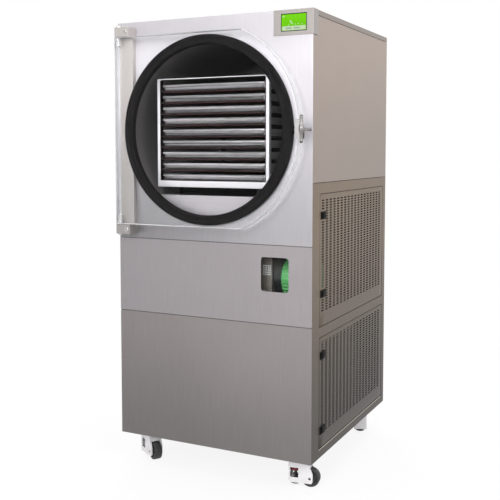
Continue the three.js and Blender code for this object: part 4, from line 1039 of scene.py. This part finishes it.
    def latches(self):
        """One sliding latch, copied to its four places."""
        first = softened("upper_vent_latch_1", "upper_latch_slide_1", 0.0007)
        low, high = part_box("upper_vent_latch_1")
        ribs = []
        for index in range(4):
            y = low.y + 0.0165 + index * 0.0026
            rib = block(f"grip_rib_{index}", (high.x - 0.0021, y, low.z + 0.0045),
                        (high.x, y + 0.0012, high.z - 0.0045))
            ribs.append(rounded(rib, 0.0003))
        first = joined("upper_latch_slide_1", first, *ribs)
        for vent, index in LATCHES:
            node_name = f"{vent}_vent_latch_{index}"
            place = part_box(node_name)[0] - low
            latch = first if (vent, index) == LATCHES[0] else twin(
                first, f"{vent}_latch_slide_{index}", place)
            settle(latch, f"{vent}_latch_{index}", "black_plastic", coat("plastic"),
                   stands_for=[node_name])


# ---- Chamber, gasket and door ----
def chamber_axis():
    """The chamber's axis (x, z) and the front of its rim."""
    low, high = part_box("vacuum_chamber")
    return (low.x + high.x) / 2, (low.z + high.z) / 2, low.y


class DRYER_OT_chamber(bpy.types.Operator):
    """Builds the vacuum chamber, its floor plate and the rubber gasket"""
    bl_idname = "dryer.chamber"
    bl_label = "Chamber"

    wall: length_property("Wall", "Thickness of the chamber's shell", 5)
    gasket_inner: length_property("Gasket inside", "Inner radius of the gasket", 282)
    gasket_outer: length_property("Gasket outside", "Outer radius of the gasket", 315)
    gasket_round: length_property("Gasket rounding", "Rounding of the gasket's lips", 6)

    def execute(self, context):
        sizes = context.scene.dryer_sizes
        x, z, front = chamber_axis()
        low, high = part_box("vacuum_chamber")
        outer = (high.x - low.x) / 2
        inner = outer - self.wall
        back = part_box("vacuum_chamber")[1].y - 0.026
        shell = turned("chamber_shell", [
            (0, back - self.wall), (inner - 0.02, back - self.wall),
            *arc(inner - 0.02, back - self.wall - 0.02, 0.02, 90, 0, 5),
            (inner, front + 0.001), (inner + 0.001, front), (outer - 0.001, front),
            (outer, front + 0.001), (outer, back - 0.004), (outer - 0.004, back), (0, back)],
            (x, 0, z), "y", 128)
        port = turned("chamber_port", [
            (0.018, back), (0.018, high.y), (0.021, high.y), (0.021, high.y - 0.004),
            (0.021, back + 0.001), (0.024, back), (0.018, back)],
            (x, 0, z - 0.2), "y", 40)
        shell = joined("chamber_shell", shell, port)
        settle(shell, "cabinet", "satin_steel", coat("chamber"),
               stands_for=["vacuum_chamber"])
        plate = softened("chamber_floor_plate", "chamber_apron", sizes.sheet_edge)
        settle(plate, "cabinet", "satin_steel", coat("apron"),
               stands_for=["chamber_floor_plate"])
        self.gasket(x, z, inner, outer)
        return {"FINISHED"}

    def gasket(self, x, z, inner, outer):
        """The rubber channel on the chamber's rim, with its pull tab."""
        low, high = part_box("door_gasket")
        face, back = low.y, high.y
        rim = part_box("vacuum_chamber")[0].y
        soft = self.gasket_round
        gap = 0.0003
        ring = turned("gasket_ring", [
            (self.gasket_inner, back), (self.gasket_inner, face + soft),
            *arc(self.gasket_inner + soft, face + soft, soft, 180, 270, 4)[1:],
            (0.5 * (self.gasket_inner + self.gasket_outer) - 0.004, face),
            (0.5 * (self.gasket_inner + self.gasket_outer), face + 0.0012),
            (0.5 * (self.gasket_inner + self.gasket_outer) + 0.004, face),
            *arc(self.gasket_outer - soft, face + soft, soft, 270, 360, 4),
            (self.gasket_outer, back), (outer + gap, back), (outer + gap, rim - gap),
            (inner - gap, rim - gap), (inner - gap, back), (self.gasket_inner, back)],
            (x, 0, z), "y", 144)
        tab = block("gasket_tab", (x + self.gasket_outer - 0.008, face + 0.006, z - 0.012),
                    (high.x, face + 0.0115, z + 0.012))
        pick(tab, "EDGE", lambda edge: abs((edge.verts[0].co - edge.verts[1].co).normalized().y)
             > 0.9 and edge.verts[0].co.x > high.x - 0.001)
        bpy.ops.mesh.bevel(offset=0.0118, segments=8, affect="EDGES")
        leave_edit()
        hole = turned("tab_hole", [(0, face), (0.0035, face), (0.0035, back), (0, back)],
                      (high.x - 0.0095, 0, z), "y", 24)
        cut_out(tab, hole)
        rounded(tab, 0.0012)
        settle(joined("gasket_ring", ring, tab), "cabinet", "black_rubber",
               coat("rubber"), stands_for=["door_gasket"])


class DRYER_OT_clear_door(bpy.types.Operator):
    """Builds the clear acrylic door, its hinge bar, pins and strike"""
    bl_idname = "dryer.clear_door"
    bl_label = "Clear door"

    edge: length_property("Door edge", "Polished rounding of the acrylic's edges", 1.6)
    pin_hole: length_property("Pin hole", "Radius of the hole for a hinge pin", 6.4)
    pin_depth: length_property("Pin depth", "Depth of the hole for a hinge pin", 31)

    def execute(self, context):
        self.door()
        self.hinge()
        self.strike()
        return {"FINISHED"}

    def door(self):
        """A thick round sheet, trimmed square at its top, foot and hinge side."""
        low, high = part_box("acrylic_door")
        x, z, _ = chamber_axis()
        radius = high.x - x
        pin_x, pin_y = JOINTS["chamber_door_hinge"]["pos_m"][:2]
        thickness = high.y - low.y
        bpy.ops.object.select_all(action="DESELECT")
        bpy.ops.mesh.primitive_cylinder_add(
            vertices=192, radius=radius, depth=thickness,
            location=(x, (low.y + high.y) / 2, z), rotation=(math.pi / 2, 0, 0))
        door = bpy.context.object
        door.name = "clear_door"
        door.data.name = "clear_door"
        bpy.ops.object.transform_apply(location=True, rotation=True, scale=True)
        for place, normal in (((0, 0, high.z), (0, 0, 1)), ((0, 0, low.z), (0, 0, -1)),
                              ((x, 0, 0), (-1, 0, 0))):
            pick(door, "FACE", lambda face: True)
            bpy.ops.mesh.bisect(plane_co=place, plane_no=normal, use_fill=True,
                                clear_outer=True)
            bpy.ops.object.mode_set(mode="OBJECT")
        pick(door, "FACE", lambda face: face.normal.x < -0.99)
        bpy.ops.transform.translate(value=(low.x - x, 0, 0))
        leave_edit()
        pick(door, "EDGE", lambda edge: abs(edge.verts[0].co.x - low.x) < 1e-5
             and abs(edge.verts[1].co.x - low.x) < 1e-5
             and abs(edge.verts[0].co.z - edge.verts[1].co.z) > 0.1)
        bpy.ops.mesh.bevel(offset=0.49 * thickness, segments=10, affect="EDGES")
        leave_edit()
        for edge_z, inward in ((high.z, -1), (low.z, 1)):
            drill = turned("pin_drill", [
                (0, edge_z - inward * 0.01), (self.pin_hole, edge_z - inward * 0.01),
                (self.pin_hole, edge_z + inward * self.pin_depth),
                (0, edge_z + inward * self.pin_depth)], (pin_x, pin_y, 0), "z", 32)
            cut_out(door, drill)
        rounded(door, self.edge, 3)
        settle(door, "chamber_door", "clear_acrylic", coat("acrylic"),
               stands_for=["acrylic_door"])
        # Painted highlight: the acrylic's edge and its rounded rims take a partly white finish.
        refinish(door, "door edge", lambda face: abs(face.normal.y) < 0.2)
        refinish(door, "door bevel", lambda face: 0.2 <= abs(face.normal.y) < 0.98)

    def hinge(self):
        """The bar behind the door, its lugs' screws and the two headed pins."""
        low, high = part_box("hinge_bar")
        bar = softened("hinge_bar", "hinge_rail", 0.0012)
        settle(bar, "cabinet", "satin_steel", coat("hinge"), stands_for=["hinge_bar"])
        heads = []
        for end, z in (("top", high.z - 0.017), ("foot", low.z + 0.017)):
            seat = (high.x - 0.012, low.y, z)
            heads.append(turned(f"lug_screw_{end}", [
                (0.0035, 0.0006), (0.0035, -0.003), (0.0062, -0.003), (0.007, -0.0018),
                (0.007, 0.0004), (0.0035, 0.0006)], seat, "y", 28))
        settle(joined("lug_screws", *heads), "cabinet", "polished_steel", coat("polish"))
        for end in ("upper", "lower"):
            self.pin(end)

    def pin(self, end):
        """A turned pin with a chamfered head."""
        low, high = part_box(f"{end}_hinge_pin")
        x, y = (low.x + high.x) / 2, (low.y + high.y) / 2
        head, tip = (high.z, low.z) if end == "upper" else (low.z, high.z)
        outward = 1 if end == "upper" else -1
        seat = head - outward * 0.004
        pin = turned(f"{end}_pin", [
            (0, tip), (0.0052, tip), (0.006, tip + outward * 0.0012), (0.006, seat), (0.009, seat),
            (0.009, head - outward * 0.001), (0.008, head), (0.004, head),
            (0.0034, head - outward * 0.0016), (0, head - outward * 0.0016)], (x, y, 0), "z", 40)
        settle(pin, "cabinet", "polished_steel", coat("polish"),
               stands_for=[f"{end}_hinge_pin"])

    def strike(self):
        """The catch plate on the door's free edge, with rounded corners."""
        low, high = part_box("door_strike")
        plate = block("strike_plate", low, high)
        pick(plate, "EDGE", lambda edge: abs((edge.verts[0].co - edge.verts[1].co).y) > 0.001)
        bpy.ops.mesh.bevel(offset=0.003, segments=4, affect="EDGES")
        leave_edit()
        rounded(plate, 0.0006)
        settle(plate, "chamber_door", "polished_steel", coat("polish"),
               stands_for=["door_strike"])


class DRYER_OT_handle(bpy.types.Operator):
    """Builds the T-shaped clamp handle"""
    bl_idname = "dryer.handle"
    bl_label = "Handle"

    def execute(self, context):
        low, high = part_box("t_handle")
        x, _, z = JOINTS["handle_turn"]["pos_m"]
        bar_y = low.y + 0.0085
        half = (high.z - low.z) / 2
        side = [(0.0085, 0.0), (0.0085, 0.004), (0.0080, 0.0075), (0.0068, 0.0105),
                (0.0058, 0.0135), (0.0053, 0.018), (0.0052, half - 0.010), (0.0055, half - 0.006),
                (0.0054, half - 0.003), (0.0046, half - 0.001), (0.0028, half), (0, half)]
        outline = [(radius, -height) for radius, height in reversed(side[1:])] + side
        grip = turned("handle_grip", outline, (x, bar_y, z), "z", 40)
        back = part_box("upper_front_plate")[1].y
        spindle = turned("handle_spindle", [
            (0, bar_y), (0.005, bar_y), (0.005, back + 0.0003), (0.009, back + 0.0003),
            (0.009, back + 0.0077), (0.0085, back + 0.0087), (0.005, back + 0.0087),
            (0.005, high.y - 0.0005), (0.0045, high.y), (0, high.y)], (x, 0, z), "y", 40)
        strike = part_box("door_strike")[0].y
        finger = block("handle_finger", (x - 0.006, strike - 0.0057, z - 0.03),
                       (x + 0.006, strike - 0.0007, z + 0.006))
        pick(finger, "EDGE", lambda edge: abs((edge.verts[0].co - edge.verts[1].co).y) > 0.001)
        bpy.ops.mesh.bevel(offset=0.0045, segments=5, affect="EDGES")
        leave_edit()
        rounded(finger, 0.0006)
        handle = joined("clamp_handle", grip, spindle, finger)
        settle(handle, "handle", "polished_steel", coat("handle"), stands_for=["t_handle"])
        refinish(handle, "plastic", lambda face: abs(face.center.z - z) > half - 0.0035)
        return {"FINISHED"}


# ---- Rack and trays ----
class DRYER_OT_rack(bpy.types.Operator):
    """Builds the shelf rack, its heater mats and the nine trays"""
    bl_idname = "dryer.rack"
    bl_label = "Rack and trays"

    trays: IntProperty(name="Trays", description="Number of trays in the rack", default=9, min=1)
    corner: length_property("Tray corner", "Corner radius of a tray", 9)

    def execute(self, context):
        sizes = context.scene.dryer_sizes
        rack = softened("tray_rack", "shelf_rack", 0.0005)
        settle(rack, "cabinet", "satin_steel", coat("rack"), stands_for=["tray_rack"])
        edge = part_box("tray_rack")[1].x - 0.001
        # Painted shade: the rack's outer side faces darken deeper in the chamber.
        refinish(rack, "rack side", lambda face: face.normal.x > 0.5 and face.center.x > edge)
        first = self.tray(sizes)
        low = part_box("tray_1")[0]
        mats = [self.heater_mat(sizes, low)]
        for number in range(1, self.trays + 1):
            name = f"tray_{number}"
            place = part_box(name)[0] - low
            pan = first if number == 1 else twin(first, f"tray_pan_{number}", place)
            settle(pan, "cabinet", "satin_steel", coat("tray"), stands_for=[name])
            # Painted shade: the tray ends darken deeper in the chamber.
            refinish(pan, "tray side", lambda face: face.normal.x > 0.5)
            if number > 1:
                mats.append(twin(mats[0], f"heater_mat_{number}", place))
        settle(joined("heater_mats", *mats), "cabinet", "red_plastic", coat("heater"))
        return {"FINISHED"}

    def tray(self, sizes):
        """A pan with leaning walls, rounded corners and a rim rolled outwards."""
        low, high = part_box("tray_1")
        lip, lean = sizes.tray_lip, sizes.tray_flare
        pan = block("tray_pan_1", low, high)
        centre = (low + high) / 2
        pick(pan, "FACE", lambda face: face.normal.z > 0.9)
        bpy.ops.mesh.delete(type="FACE")
        bpy.ops.object.mode_set(mode="OBJECT")
        width, length = high.x - low.x, high.y - low.y
        pick(pan, "VERT", lambda vertex: vertex.co.z > centre.z)
        bpy.ops.transform.resize(value=((width - 2 * lip) / width, (length - 2 * lip) / length, 1),
                                 center_override=centre)
        bpy.ops.object.mode_set(mode="OBJECT")
        inset = lip + lean
        pick(pan, "VERT", lambda vertex: vertex.co.z < centre.z)
        bpy.ops.transform.resize(
            value=((width - 2 * inset) / width, (length - 2 * inset) / length, 1),
            center_override=centre)
        bpy.ops.object.mode_set(mode="OBJECT")
        pick(pan, "EDGE", lambda edge: abs(edge.verts[0].co.z - edge.verts[1].co.z) > 0.01)
        bpy.ops.mesh.bevel(offset=self.corner, segments=5, affect="EDGES")
        bpy.ops.object.mode_set(mode="OBJECT")
        pick(pan, "EDGE", lambda edge: not edge.is_boundary
             and max(vertex.co.z for vertex in edge.verts) < low.z + 0.001)
        bpy.ops.mesh.bevel(offset=0.0035, segments=3, affect="EDGES")
        bpy.ops.object.mode_set(mode="OBJECT")
        pick(pan, "EDGE", lambda edge: edge.is_boundary)
        steps = ((0.55 * lip, 0.0), (0.3 * lip, -0.0009), (0.15 * lip, -0.0024),
                 (-0.15 * lip, -0.0038))
        grown = Vector((width - 2 * lip, length - 2 * lip))
        for outward, drop in steps:
            bpy.ops.mesh.extrude_edges_move(TRANSFORM_OT_translate={"value": (0, 0, 0)})
            bigger = grown + Vector((2 * outward, 2 * outward))
            bpy.ops.transform.resize(value=(bigger.x / grown.x, bigger.y / grown.y, 1),
                                     center_override=centre)
            bpy.ops.transform.translate(value=(0, 0, drop))
            grown = bigger
        bpy.ops.mesh.select_all(action="SELECT")
        bpy.ops.mesh.normals_make_consistent(inside=False)
        leave_edit()
        apply_modifier(pan, "SOLIDIFY", thickness=sizes.tray_steel, offset=0,
                       use_even_offset=True)
        only(pan)
        smooth(pan, 50)
        return pan

    def heater_mat(self, sizes, low):
        """A thin mat under the top shelf, set in from its edges."""
        rack_low, rack_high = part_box("tray_rack")
        shelf = low.z - 0.0003 - 0.004
        mat = block("heater_mat_1", (rack_low.x + 0.014, rack_low.y + 0.0045, shelf - sizes.heater),
                    (rack_high.x - 0.014, rack_high.y - 0.02, shelf - 0.00005))
        pick(mat, "EDGE", lambda edge: abs(edge.verts[0].co.z - edge.verts[1].co.z) > 0.001)
        bpy.ops.mesh.bevel(offset=0.012, segments=4, affect="EDGES")
        leave_edit()
        return rounded(mat, 0.0004)


# ---- Controls ----
class DRYER_OT_controls(bpy.types.Operator):
    """Builds the touch screen, its bezel, the sight window, electrical box and power inlet"""
    bl_idname = "dryer.controls"
    bl_label = "Controls"

    def execute(self, context):
        sizes = context.scene.dryer_sizes
        bezel = softened("hmi_bezel", "screen_bezel", 0.0006)
        settle(bezel, "cabinet", "satin_steel", coat("bezel"), stands_for=["hmi_bezel"])
        self.screen()
        pane = softened("sight_window", "sight_pane", 0.0006)
        settle(pane, "cabinet", "clear_acrylic", coat("pane"), stands_for=["sight_window"])
        box = softened("control_box", "electrical_box", sizes.casting_edge)
        settle(box, "cabinet", "grey_paint", coat("enclosure"), stands_for=["control_box"])
        inlet = softened("power_inlet", "inlet_socket", 0.0008)
        low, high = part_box("power_inlet")
        middle = (low + high) / 2
        blades = []
        for index, (x, z) in enumerate(((-0.007, -0.003), (0.007, -0.003), (0, 0.004))):
            blade = block(f"inlet_blade_{index}",
                          (middle.x + x - 0.001, low.y + 0.003, middle.z + z - 0.002),
                          (middle.x + x + 0.001, high.y - 0.010, middle.z + z + 0.002))
            blades.append(rounded(blade, 0.0003))
        settle(inlet, "cabinet", "black_plastic", coat("plastic"),
               stands_for=["power_inlet"])
        settle(joined("inlet_blades", *blades), "cabinet", "polished_steel",
               coat("polish"))
        return {"FINISHED"}

    def screen(self):
        """The display: a black rim and a sunken lit face."""
        low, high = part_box("hmi_screen")
        screen = block("screen_display", low, high)
        pick(screen, "FACE", lambda face: face.normal.y < -0.9)
        bpy.ops.mesh.inset(thickness=0.0015)
        bpy.ops.mesh.extrude_region_move(TRANSFORM_OT_translate={"value": (0, 0.0003, 0)})
        bpy.ops.object.mode_set(mode="OBJECT")
        rounded(screen, 0.0003)
        paint(screen, coat("plastic"), coat("display"))
        for face in screen.data.polygons:
            lit = face.normal.y < -0.99 and face.center.y > low.y + 0.0002 and face.area > 0.001
            face.material_index = 1 if lit else 0
        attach(screen, "cabinet")
        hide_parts("hmi_screen")


# ---- Machinery ----
class DRYER_OT_machinery(bpy.types.Operator):
    """Builds the pump, its motor, the refrigeration unit and the pipes"""
    bl_idname = "dryer.machinery"
    bl_label = "Machinery"

    motor_fins: IntProperty(name="Motor fins", description="Cooling fins round the motor",
                            default=32, min=8)
    condenser_fins: IntProperty(name="Condenser fins", description="Fins of the condenser",
                                default=56, min=8)

    def execute(self, context):
        sizes = context.scene.dryer_sizes
        self.pump(sizes)
        self.motor()
        self.compressor(sizes)
        self.condenser()
        self.fan(sizes)
        coil = smooth_copy("evaporator_coil", "evaporator_pipe")
        settle(coil, "cabinet", "copper", coat("copper"), stands_for=["evaporator_coil"])
        pipe = smooth_copy("vacuum_pipe", "vacuum_line")
        settle(pipe, "cabinet", "satin_steel", coat("frame"), stands_for=["vacuum_pipe"])
        return {"FINISHED"}

    def pump(self, sizes):
        """The pump's casing, and a block of plain marks on the front of its cover."""
        low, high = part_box("vacuum_pump")
        casing = softened("vacuum_pump", "pump_casing", sizes.casting_edge)
        settle(casing, "cabinet", "black_paint", coat("pump"), stands_for=["vacuum_pump"])
        # The casing's top 45 mm takes the black finish, so the casing is darker towards its top.
        refinish(casing, "black", lambda face: face.center.z > high.z - 0.045)
        seat = Vector((high.x - 0.034, low.y, high.z - 0.078))
        first = rounded(block("pump_marks", seat - Vector((0, 0.0003, 0)),
                              seat + Vector((0.0036, 0.0003, 0.0044))), 0.0002)
        marks = [twin(first, f"pump_mark_{column}_{row}", (column * 0.0062, 0, row * 0.0072))
                 for column in range(5) for row in range(5) if column + row]
        settle(joined("pump_marks", first, *marks), "cabinet", "ivory_paint", coat("label"))

    def motor(self):
        """A finned motor with a fan cover."""
        low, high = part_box("pump_motor")
        y, z = (low.y + high.y) / 2, (low.z + high.z) / 2
        outer = (high.z - low.z) / 2
        shell = outer - 0.010
        cover = high.x - 0.040
        bell = low.x + 0.026
        body = turned("motor_body", [
            (0, low.x), (shell + 0.005, low.x), (shell + 0.006, low.x + 0.001),
            (shell + 0.006, bell - 0.001), (shell + 0.005, bell), (shell, bell + 0.0002),
            (shell, cover), (outer - 0.002, cover), (outer, cover + 0.002), (outer, high.x - 0.010),
            (outer - 0.003, high.x - 0.004), (outer - 0.010, high.x), (0, high.x)],
            (0, y, z), "x", 64)
        fin = block("motor_fin", (bell + 0.001, y - 0.0011, z + shell - 0.001),
                    (cover + 0.001, y + 0.0011, z + outer - 0.004))
        pick(fin, "FACE", lambda face: face.normal.z > 0.9)
        bpy.ops.transform.resize(value=(1, 0.6, 1))
        leave_edit()
        fins = [fin]
        centre = Matrix.Translation((0, y, z))
        for index in range(1, self.motor_fins):
            turn = Matrix.Rotation(FULL_TURN * index / self.motor_fins, 4, "X")
            fins.append(twin(fin, f"motor_fin_{index}", centre @ turn @ centre.inverted()))
        motor = joined("motor_body", body, *fins)
        settle(motor, "cabinet", "green_paint", coat("green"), stands_for=["pump_motor"])
        refinish(motor, "black", lambda face: face.center.x < bell + 0.0001)

    def compressor(self, sizes):
        """The compressor's shell, with its edges rounded."""
        shell = softened("compressor", "compressor_shell", sizes.casting_edge)
        settle(shell, "cabinet", "black_paint", coat("black"), stands_for=["compressor"])

    def condenser(self):
        """Thin upright fins between four side plates."""
        low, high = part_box("condenser_radiator")
        plate = 0.014 * 0.3
        sides = []
        for index, (corner, far) in enumerate((
                ((low.x, low.y, low.z), (high.x, low.y + plate, high.z)),
                ((low.x, high.y - plate, low.z), (high.x, high.y, high.z)),
                ((low.x, low.y, low.z), (high.x, high.y, low.z + plate)),
                ((low.x, low.y, high.z - plate), (high.x, high.y, high.z)))):
            sides.append(rounded(block(f"condenser_side_{index}", corner, far), 0.0006))
        fin = block("condenser_fin", (low.x + 0.003, low.y + 0.006, low.z + 0.004),
                    (high.x - 0.003, low.y + 0.0066, high.z - 0.004))
        fin_count = self.condenser_fins
        apply_modifier(fin, "ARRAY", count=fin_count, use_relative_offset=False,
                       use_constant_offset=True,
                       constant_offset_displace=(0, (high.y - low.y - 0.0126) / (fin_count - 1), 0))
        settle(joined("condenser_core", *sides, fin), "cabinet", "aluminium",
               coat("fins"), stands_for=["condenser_radiator"])

    def fan(self, sizes):
        """The fan's shroud and its blades."""
        shroud = softened("fan_shroud", "fan_frame", sizes.sheet_edge)
        settle(shroud, "cabinet", "black_paint", coat("black"), stands_for=["fan_shroud"])
        fan = softened("condenser_fan", "fan_blades", 0.0005)
        settle(fan, "fan", "black_plastic", coat("plastic"), stands_for=["condenser_fan"])


def smooth_copy(node_name, name, degrees=50):
    """A frame node's shape, merged and shaded smoothly."""
    piece = from_node(node_name, name)
    smooth(piece, degrees)
    return piece


# ---- Casters ----
class DRYER_OT_casters(bpy.types.Operator):
    """Builds the four levelling casters"""
    bl_idname = "dryer.casters"
    bl_label = "Casters"

    thumb: length_property("Thumbwheel", "Foot's pad up to its thumbwheel", 43)
    axle: length_property("Axle", "Radius of a wheel's axle", 3.9)

    def execute(self, context):
        for corner in CORNERS:
            housing = softened(f"{corner}_caster_housing", f"{corner}_housing", 0.0009)
            settle(housing, f"{corner}_caster", "ivory_paint", coat("ivory"),
                   stands_for=[f"{corner}_caster_housing"])
            foot = softened(f"{corner}_levelling_foot", f"{corner}_foot_screw", 0.0008)
            settle(foot, f"{corner}_foot", "red_plastic", coat("thumb"),
                   stands_for=[f"{corner}_levelling_foot"])
            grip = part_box(f"{corner}_levelling_foot")[0].z + self.thumb
            refinish(foot, "tyre", lambda face: face.center.z < grip)
        self.wheels()
        return {"FINISHED"}

    def wheels(self):
        """A rounded tyre on a dished hub with its axle, made at the origin and placed."""
        first = JOINTS["front_left_roll"]
        centre, along = Vector(first["pos_m"]), Vector(first["axis"]).normalized()
        points = [vertex.co - centre for vertex in NODES["front_left_caster_wheel"].data.vertices]
        tip = max(abs(point.dot(along)) for point in points)
        radius, half, hub, axle = centre.z, 0.0138, 0.022, self.axle
        side = [(0, tip), (0.6 * axle, tip - 0.0003), (axle, tip - 0.0015), (axle, half - 0.002),
                (0.009, half - 0.002), (0.010, half - 0.005), (hub - 0.002, half - 0.005),
                (hub, half - 0.0015), (hub + 0.001, half - 0.0005), (hub + 0.003, half),
                (radius - 0.003, half), (radius - 0.0009, half - 0.0012),
                (radius, half - 0.0035)]
        outline = side + [(r, -h) for r, h in reversed(side)]
        wheel = turned("caster_wheel", outline, (0, 0, 0), "x", 48)
        for corner in CORNERS:
            joint = JOINTS[f"{corner}_roll"]
            spindle = Vector(joint["axis"]).normalized()
            turn = Vector((1, 0, 0)).rotation_difference(spindle).to_matrix().to_4x4()
            copy = twin(wheel, f"{corner}_wheel", Matrix.Translation(joint["pos_m"]) @ turn)
            settle(copy, f"{corner}_wheel", "tyre_black", coat("tyre"),
                   stands_for=[f"{corner}_caster_wheel"])
        bpy.data.objects.remove(wheel)


# ---- Stage ----
class DRYER_OT_stage(bpy.types.Operator):
    """Sets up the pale floor, the soft lights, the world and the camera"""
    bl_idname = "dryer.stage"
    bl_label = "Stage"

    lens: FloatProperty(name="Lens", description="Focal length in millimetres", default=59.44)
    tilt: FloatProperty(name="Tilt", description="Camera's tilt below the horizon",
                        subtype="ANGLE", default=0.0661)
    heading: FloatProperty(name="Heading", description="Camera's turn about the vertical",
                           subtype="ANGLE", default=0.46)

    def execute(self, context):
        scene = context.scene
        scene.view_settings.view_transform = "Standard"
        self.floor(scene.dryer_colours)
        self.world(scene)
        for name, place, target, size, power in (
                ("key_light", (0.5, -4.4, 2.4), (0.1, -0.3, 1.0), 2.2, 95),
                ("fill_light", (3.6, -1.6, 2.4), (0.3, 0.0, 0.8), 2.2, 60),
                ("top_light", (0.2, 0.4, 4.2), (0.0, 0.0, 1.0), 2.5, 60),
                ("back_light", (-2.4, 3.2, 2.6), (0.0, 0.0, 0.9), 2.2, 60)):
            self.light(scene, name, Vector(place), Vector(target), size, power)
        lens = bpy.data.cameras.new("camera")
        lens.lens = self.lens
        lens.sensor_width = 36
        lens.shift_y = CAMERA_SHIFT
        camera = bpy.data.objects.new("camera", lens)
        camera.location = CAMERA_PLACE
        camera.rotation_euler = (math.pi / 2 - self.tilt, 0, self.heading)
        scene.collection.objects.link(camera)
        scene.camera = camera
        return {"FINISHED"}

    def light(self, scene, name, place, target, size, power):
        """A soft square lamp that looks at a target."""
        lamp = bpy.data.lights.new(name, "AREA")
        lamp.shape = "SQUARE"
        lamp.size = size
        lamp.energy = power
        holder = bpy.data.objects.new(name, lamp)
        holder.location = place
        holder.rotation_euler = (target - place).to_track_quat("-Z", "Y").to_euler()
        scene.collection.objects.link(holder)

    def world(self, scene):
        """White where the camera, gloss and glass look, and softer as light on the object."""
        world = bpy.data.worlds.new("studio")
        world.use_nodes = True
        scene.world = world
        tree = world.node_tree
        lit = tree.nodes["Background"]
        lit.inputs["Color"].default_value = (1, 1, 1, 1)
        lit.inputs["Strength"].default_value = 0.55
        seen = node(tree, "ShaderNodeBackground", {"Color": (1, 1, 1, 1), "Strength": 1.0})
        chosen = tree.nodes.new("ShaderNodeMixShader")
        tree.links.new(self.direct(tree), chosen.inputs[0])
        tree.links.new(lit.outputs[0], chosen.inputs[1])
        tree.links.new(seen.outputs[0], chosen.inputs[2])
        tree.links.new(chosen.outputs[0], tree.nodes["World Output"].inputs["Surface"])

    def direct(self, tree):
        """1 for rays that the camera sees, straight, mirrored or through glass."""
        ray = tree.nodes.new("ShaderNodeLightPath")
        mirrored = node(tree, "ShaderNodeMath", {0: ray.outputs["Is Camera Ray"],
                        1: ray.outputs["Is Glossy Ray"]}, operation="MAXIMUM")
        return node(tree, "ShaderNodeMath", {0: mirrored.outputs[0],
                    1: ray.outputs["Is Transmission Ray"]}, operation="MAXIMUM").outputs[0]

    def floor(self, colours):
        """A wide pale floor that keeps a faint shadow."""
        bpy.ops.object.select_all(action="DESELECT")
        bpy.ops.mesh.primitive_plane_add(size=30, location=(0, 0, 0))
        floor = bpy.context.object
        floor.name = "floor"
        material = bpy.data.materials.new("Studio floor")
        material.use_nodes = True
        tree = material.node_tree
        plain = tree.nodes["Principled BSDF"]
        plain.inputs["Base Color"].default_value = (*colours.floor, 1)
        plain.inputs["Roughness"].default_value = 0.8
        glow = node(tree, "ShaderNodeEmission", {"Color": (1, 1, 1, 1), "Strength": 1.0})
        place = tree.nodes.new("ShaderNodeTexCoord")
        away = node(tree, "ShaderNodeVectorMath", {0: place.outputs["Object"]},
                    operation="LENGTH")
        level = node(tree, "ShaderNodeMapRange", {"Value": away.outputs["Value"],
                     "From Min": 0.5, "From Max": 2.2, "To Min": 0.88, "To Max": 1.0})
        share = node(tree, "ShaderNodeMath", {0: self.direct(tree), 1: level.outputs[0]},
                     operation="MULTIPLY")
        mixed = tree.nodes.new("ShaderNodeMixShader")
        tree.links.new(share.outputs[0], mixed.inputs[0])
        tree.links.new(plain.outputs[0], mixed.inputs[1])
        tree.links.new(glow.outputs[0], mixed.inputs[2])
        tree.links.new(mixed.outputs[0], tree.nodes["Material Output"].inputs["Surface"])
        paint(floor, material)
        floor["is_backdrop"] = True


# ---- Panel and registration ----
OPERATORS = (
    DRYER_OT_stage, DRYER_OT_cabinet, DRYER_OT_vent_doors, DRYER_OT_chamber,
    DRYER_OT_clear_door, DRYER_OT_handle, DRYER_OT_rack, DRYER_OT_controls,
    DRYER_OT_machinery, DRYER_OT_casters,
)


class DRYER_PT_panel(bpy.types.Panel):
    """Lists the settings and the steps that build the dryer"""
    bl_idname = "DRYER_PT_panel"
    bl_label = "Freeze Dryer"
    bl_space_type = "VIEW_3D"
    bl_region_type = "UI"
    bl_category = "Freeze Dryer"

    def draw(self, context):
        for settings in (context.scene.dryer_sizes, context.scene.dryer_colours):
            box = self.layout.box()
            for key in settings.__annotations__:
                box.prop(settings, key)
        for operator in OPERATORS:
            self.layout.operator(operator.bl_idname)


CLASSES = (DryerSizes, DryerColours, *OPERATORS, DRYER_PT_panel)


def register():
    for kind in CLASSES:
        bpy.utils.register_class(kind)
    bpy.types.Scene.dryer_sizes = PointerProperty(type=DryerSizes)
    bpy.types.Scene.dryer_colours = PointerProperty(type=DryerColours)


def unregister():
    del bpy.types.Scene.dryer_colours
    del bpy.types.Scene.dryer_sizes
    for kind in reversed(CLASSES):
        bpy.utils.unregister_class(kind)


def main():
    """Builds every piece in order."""
    register()
    for operator in OPERATORS:
        group, name = operator.bl_idname.split(".")
        getattr(getattr(bpy.ops, group), name)()


if __name__ == "__main__":
    main()
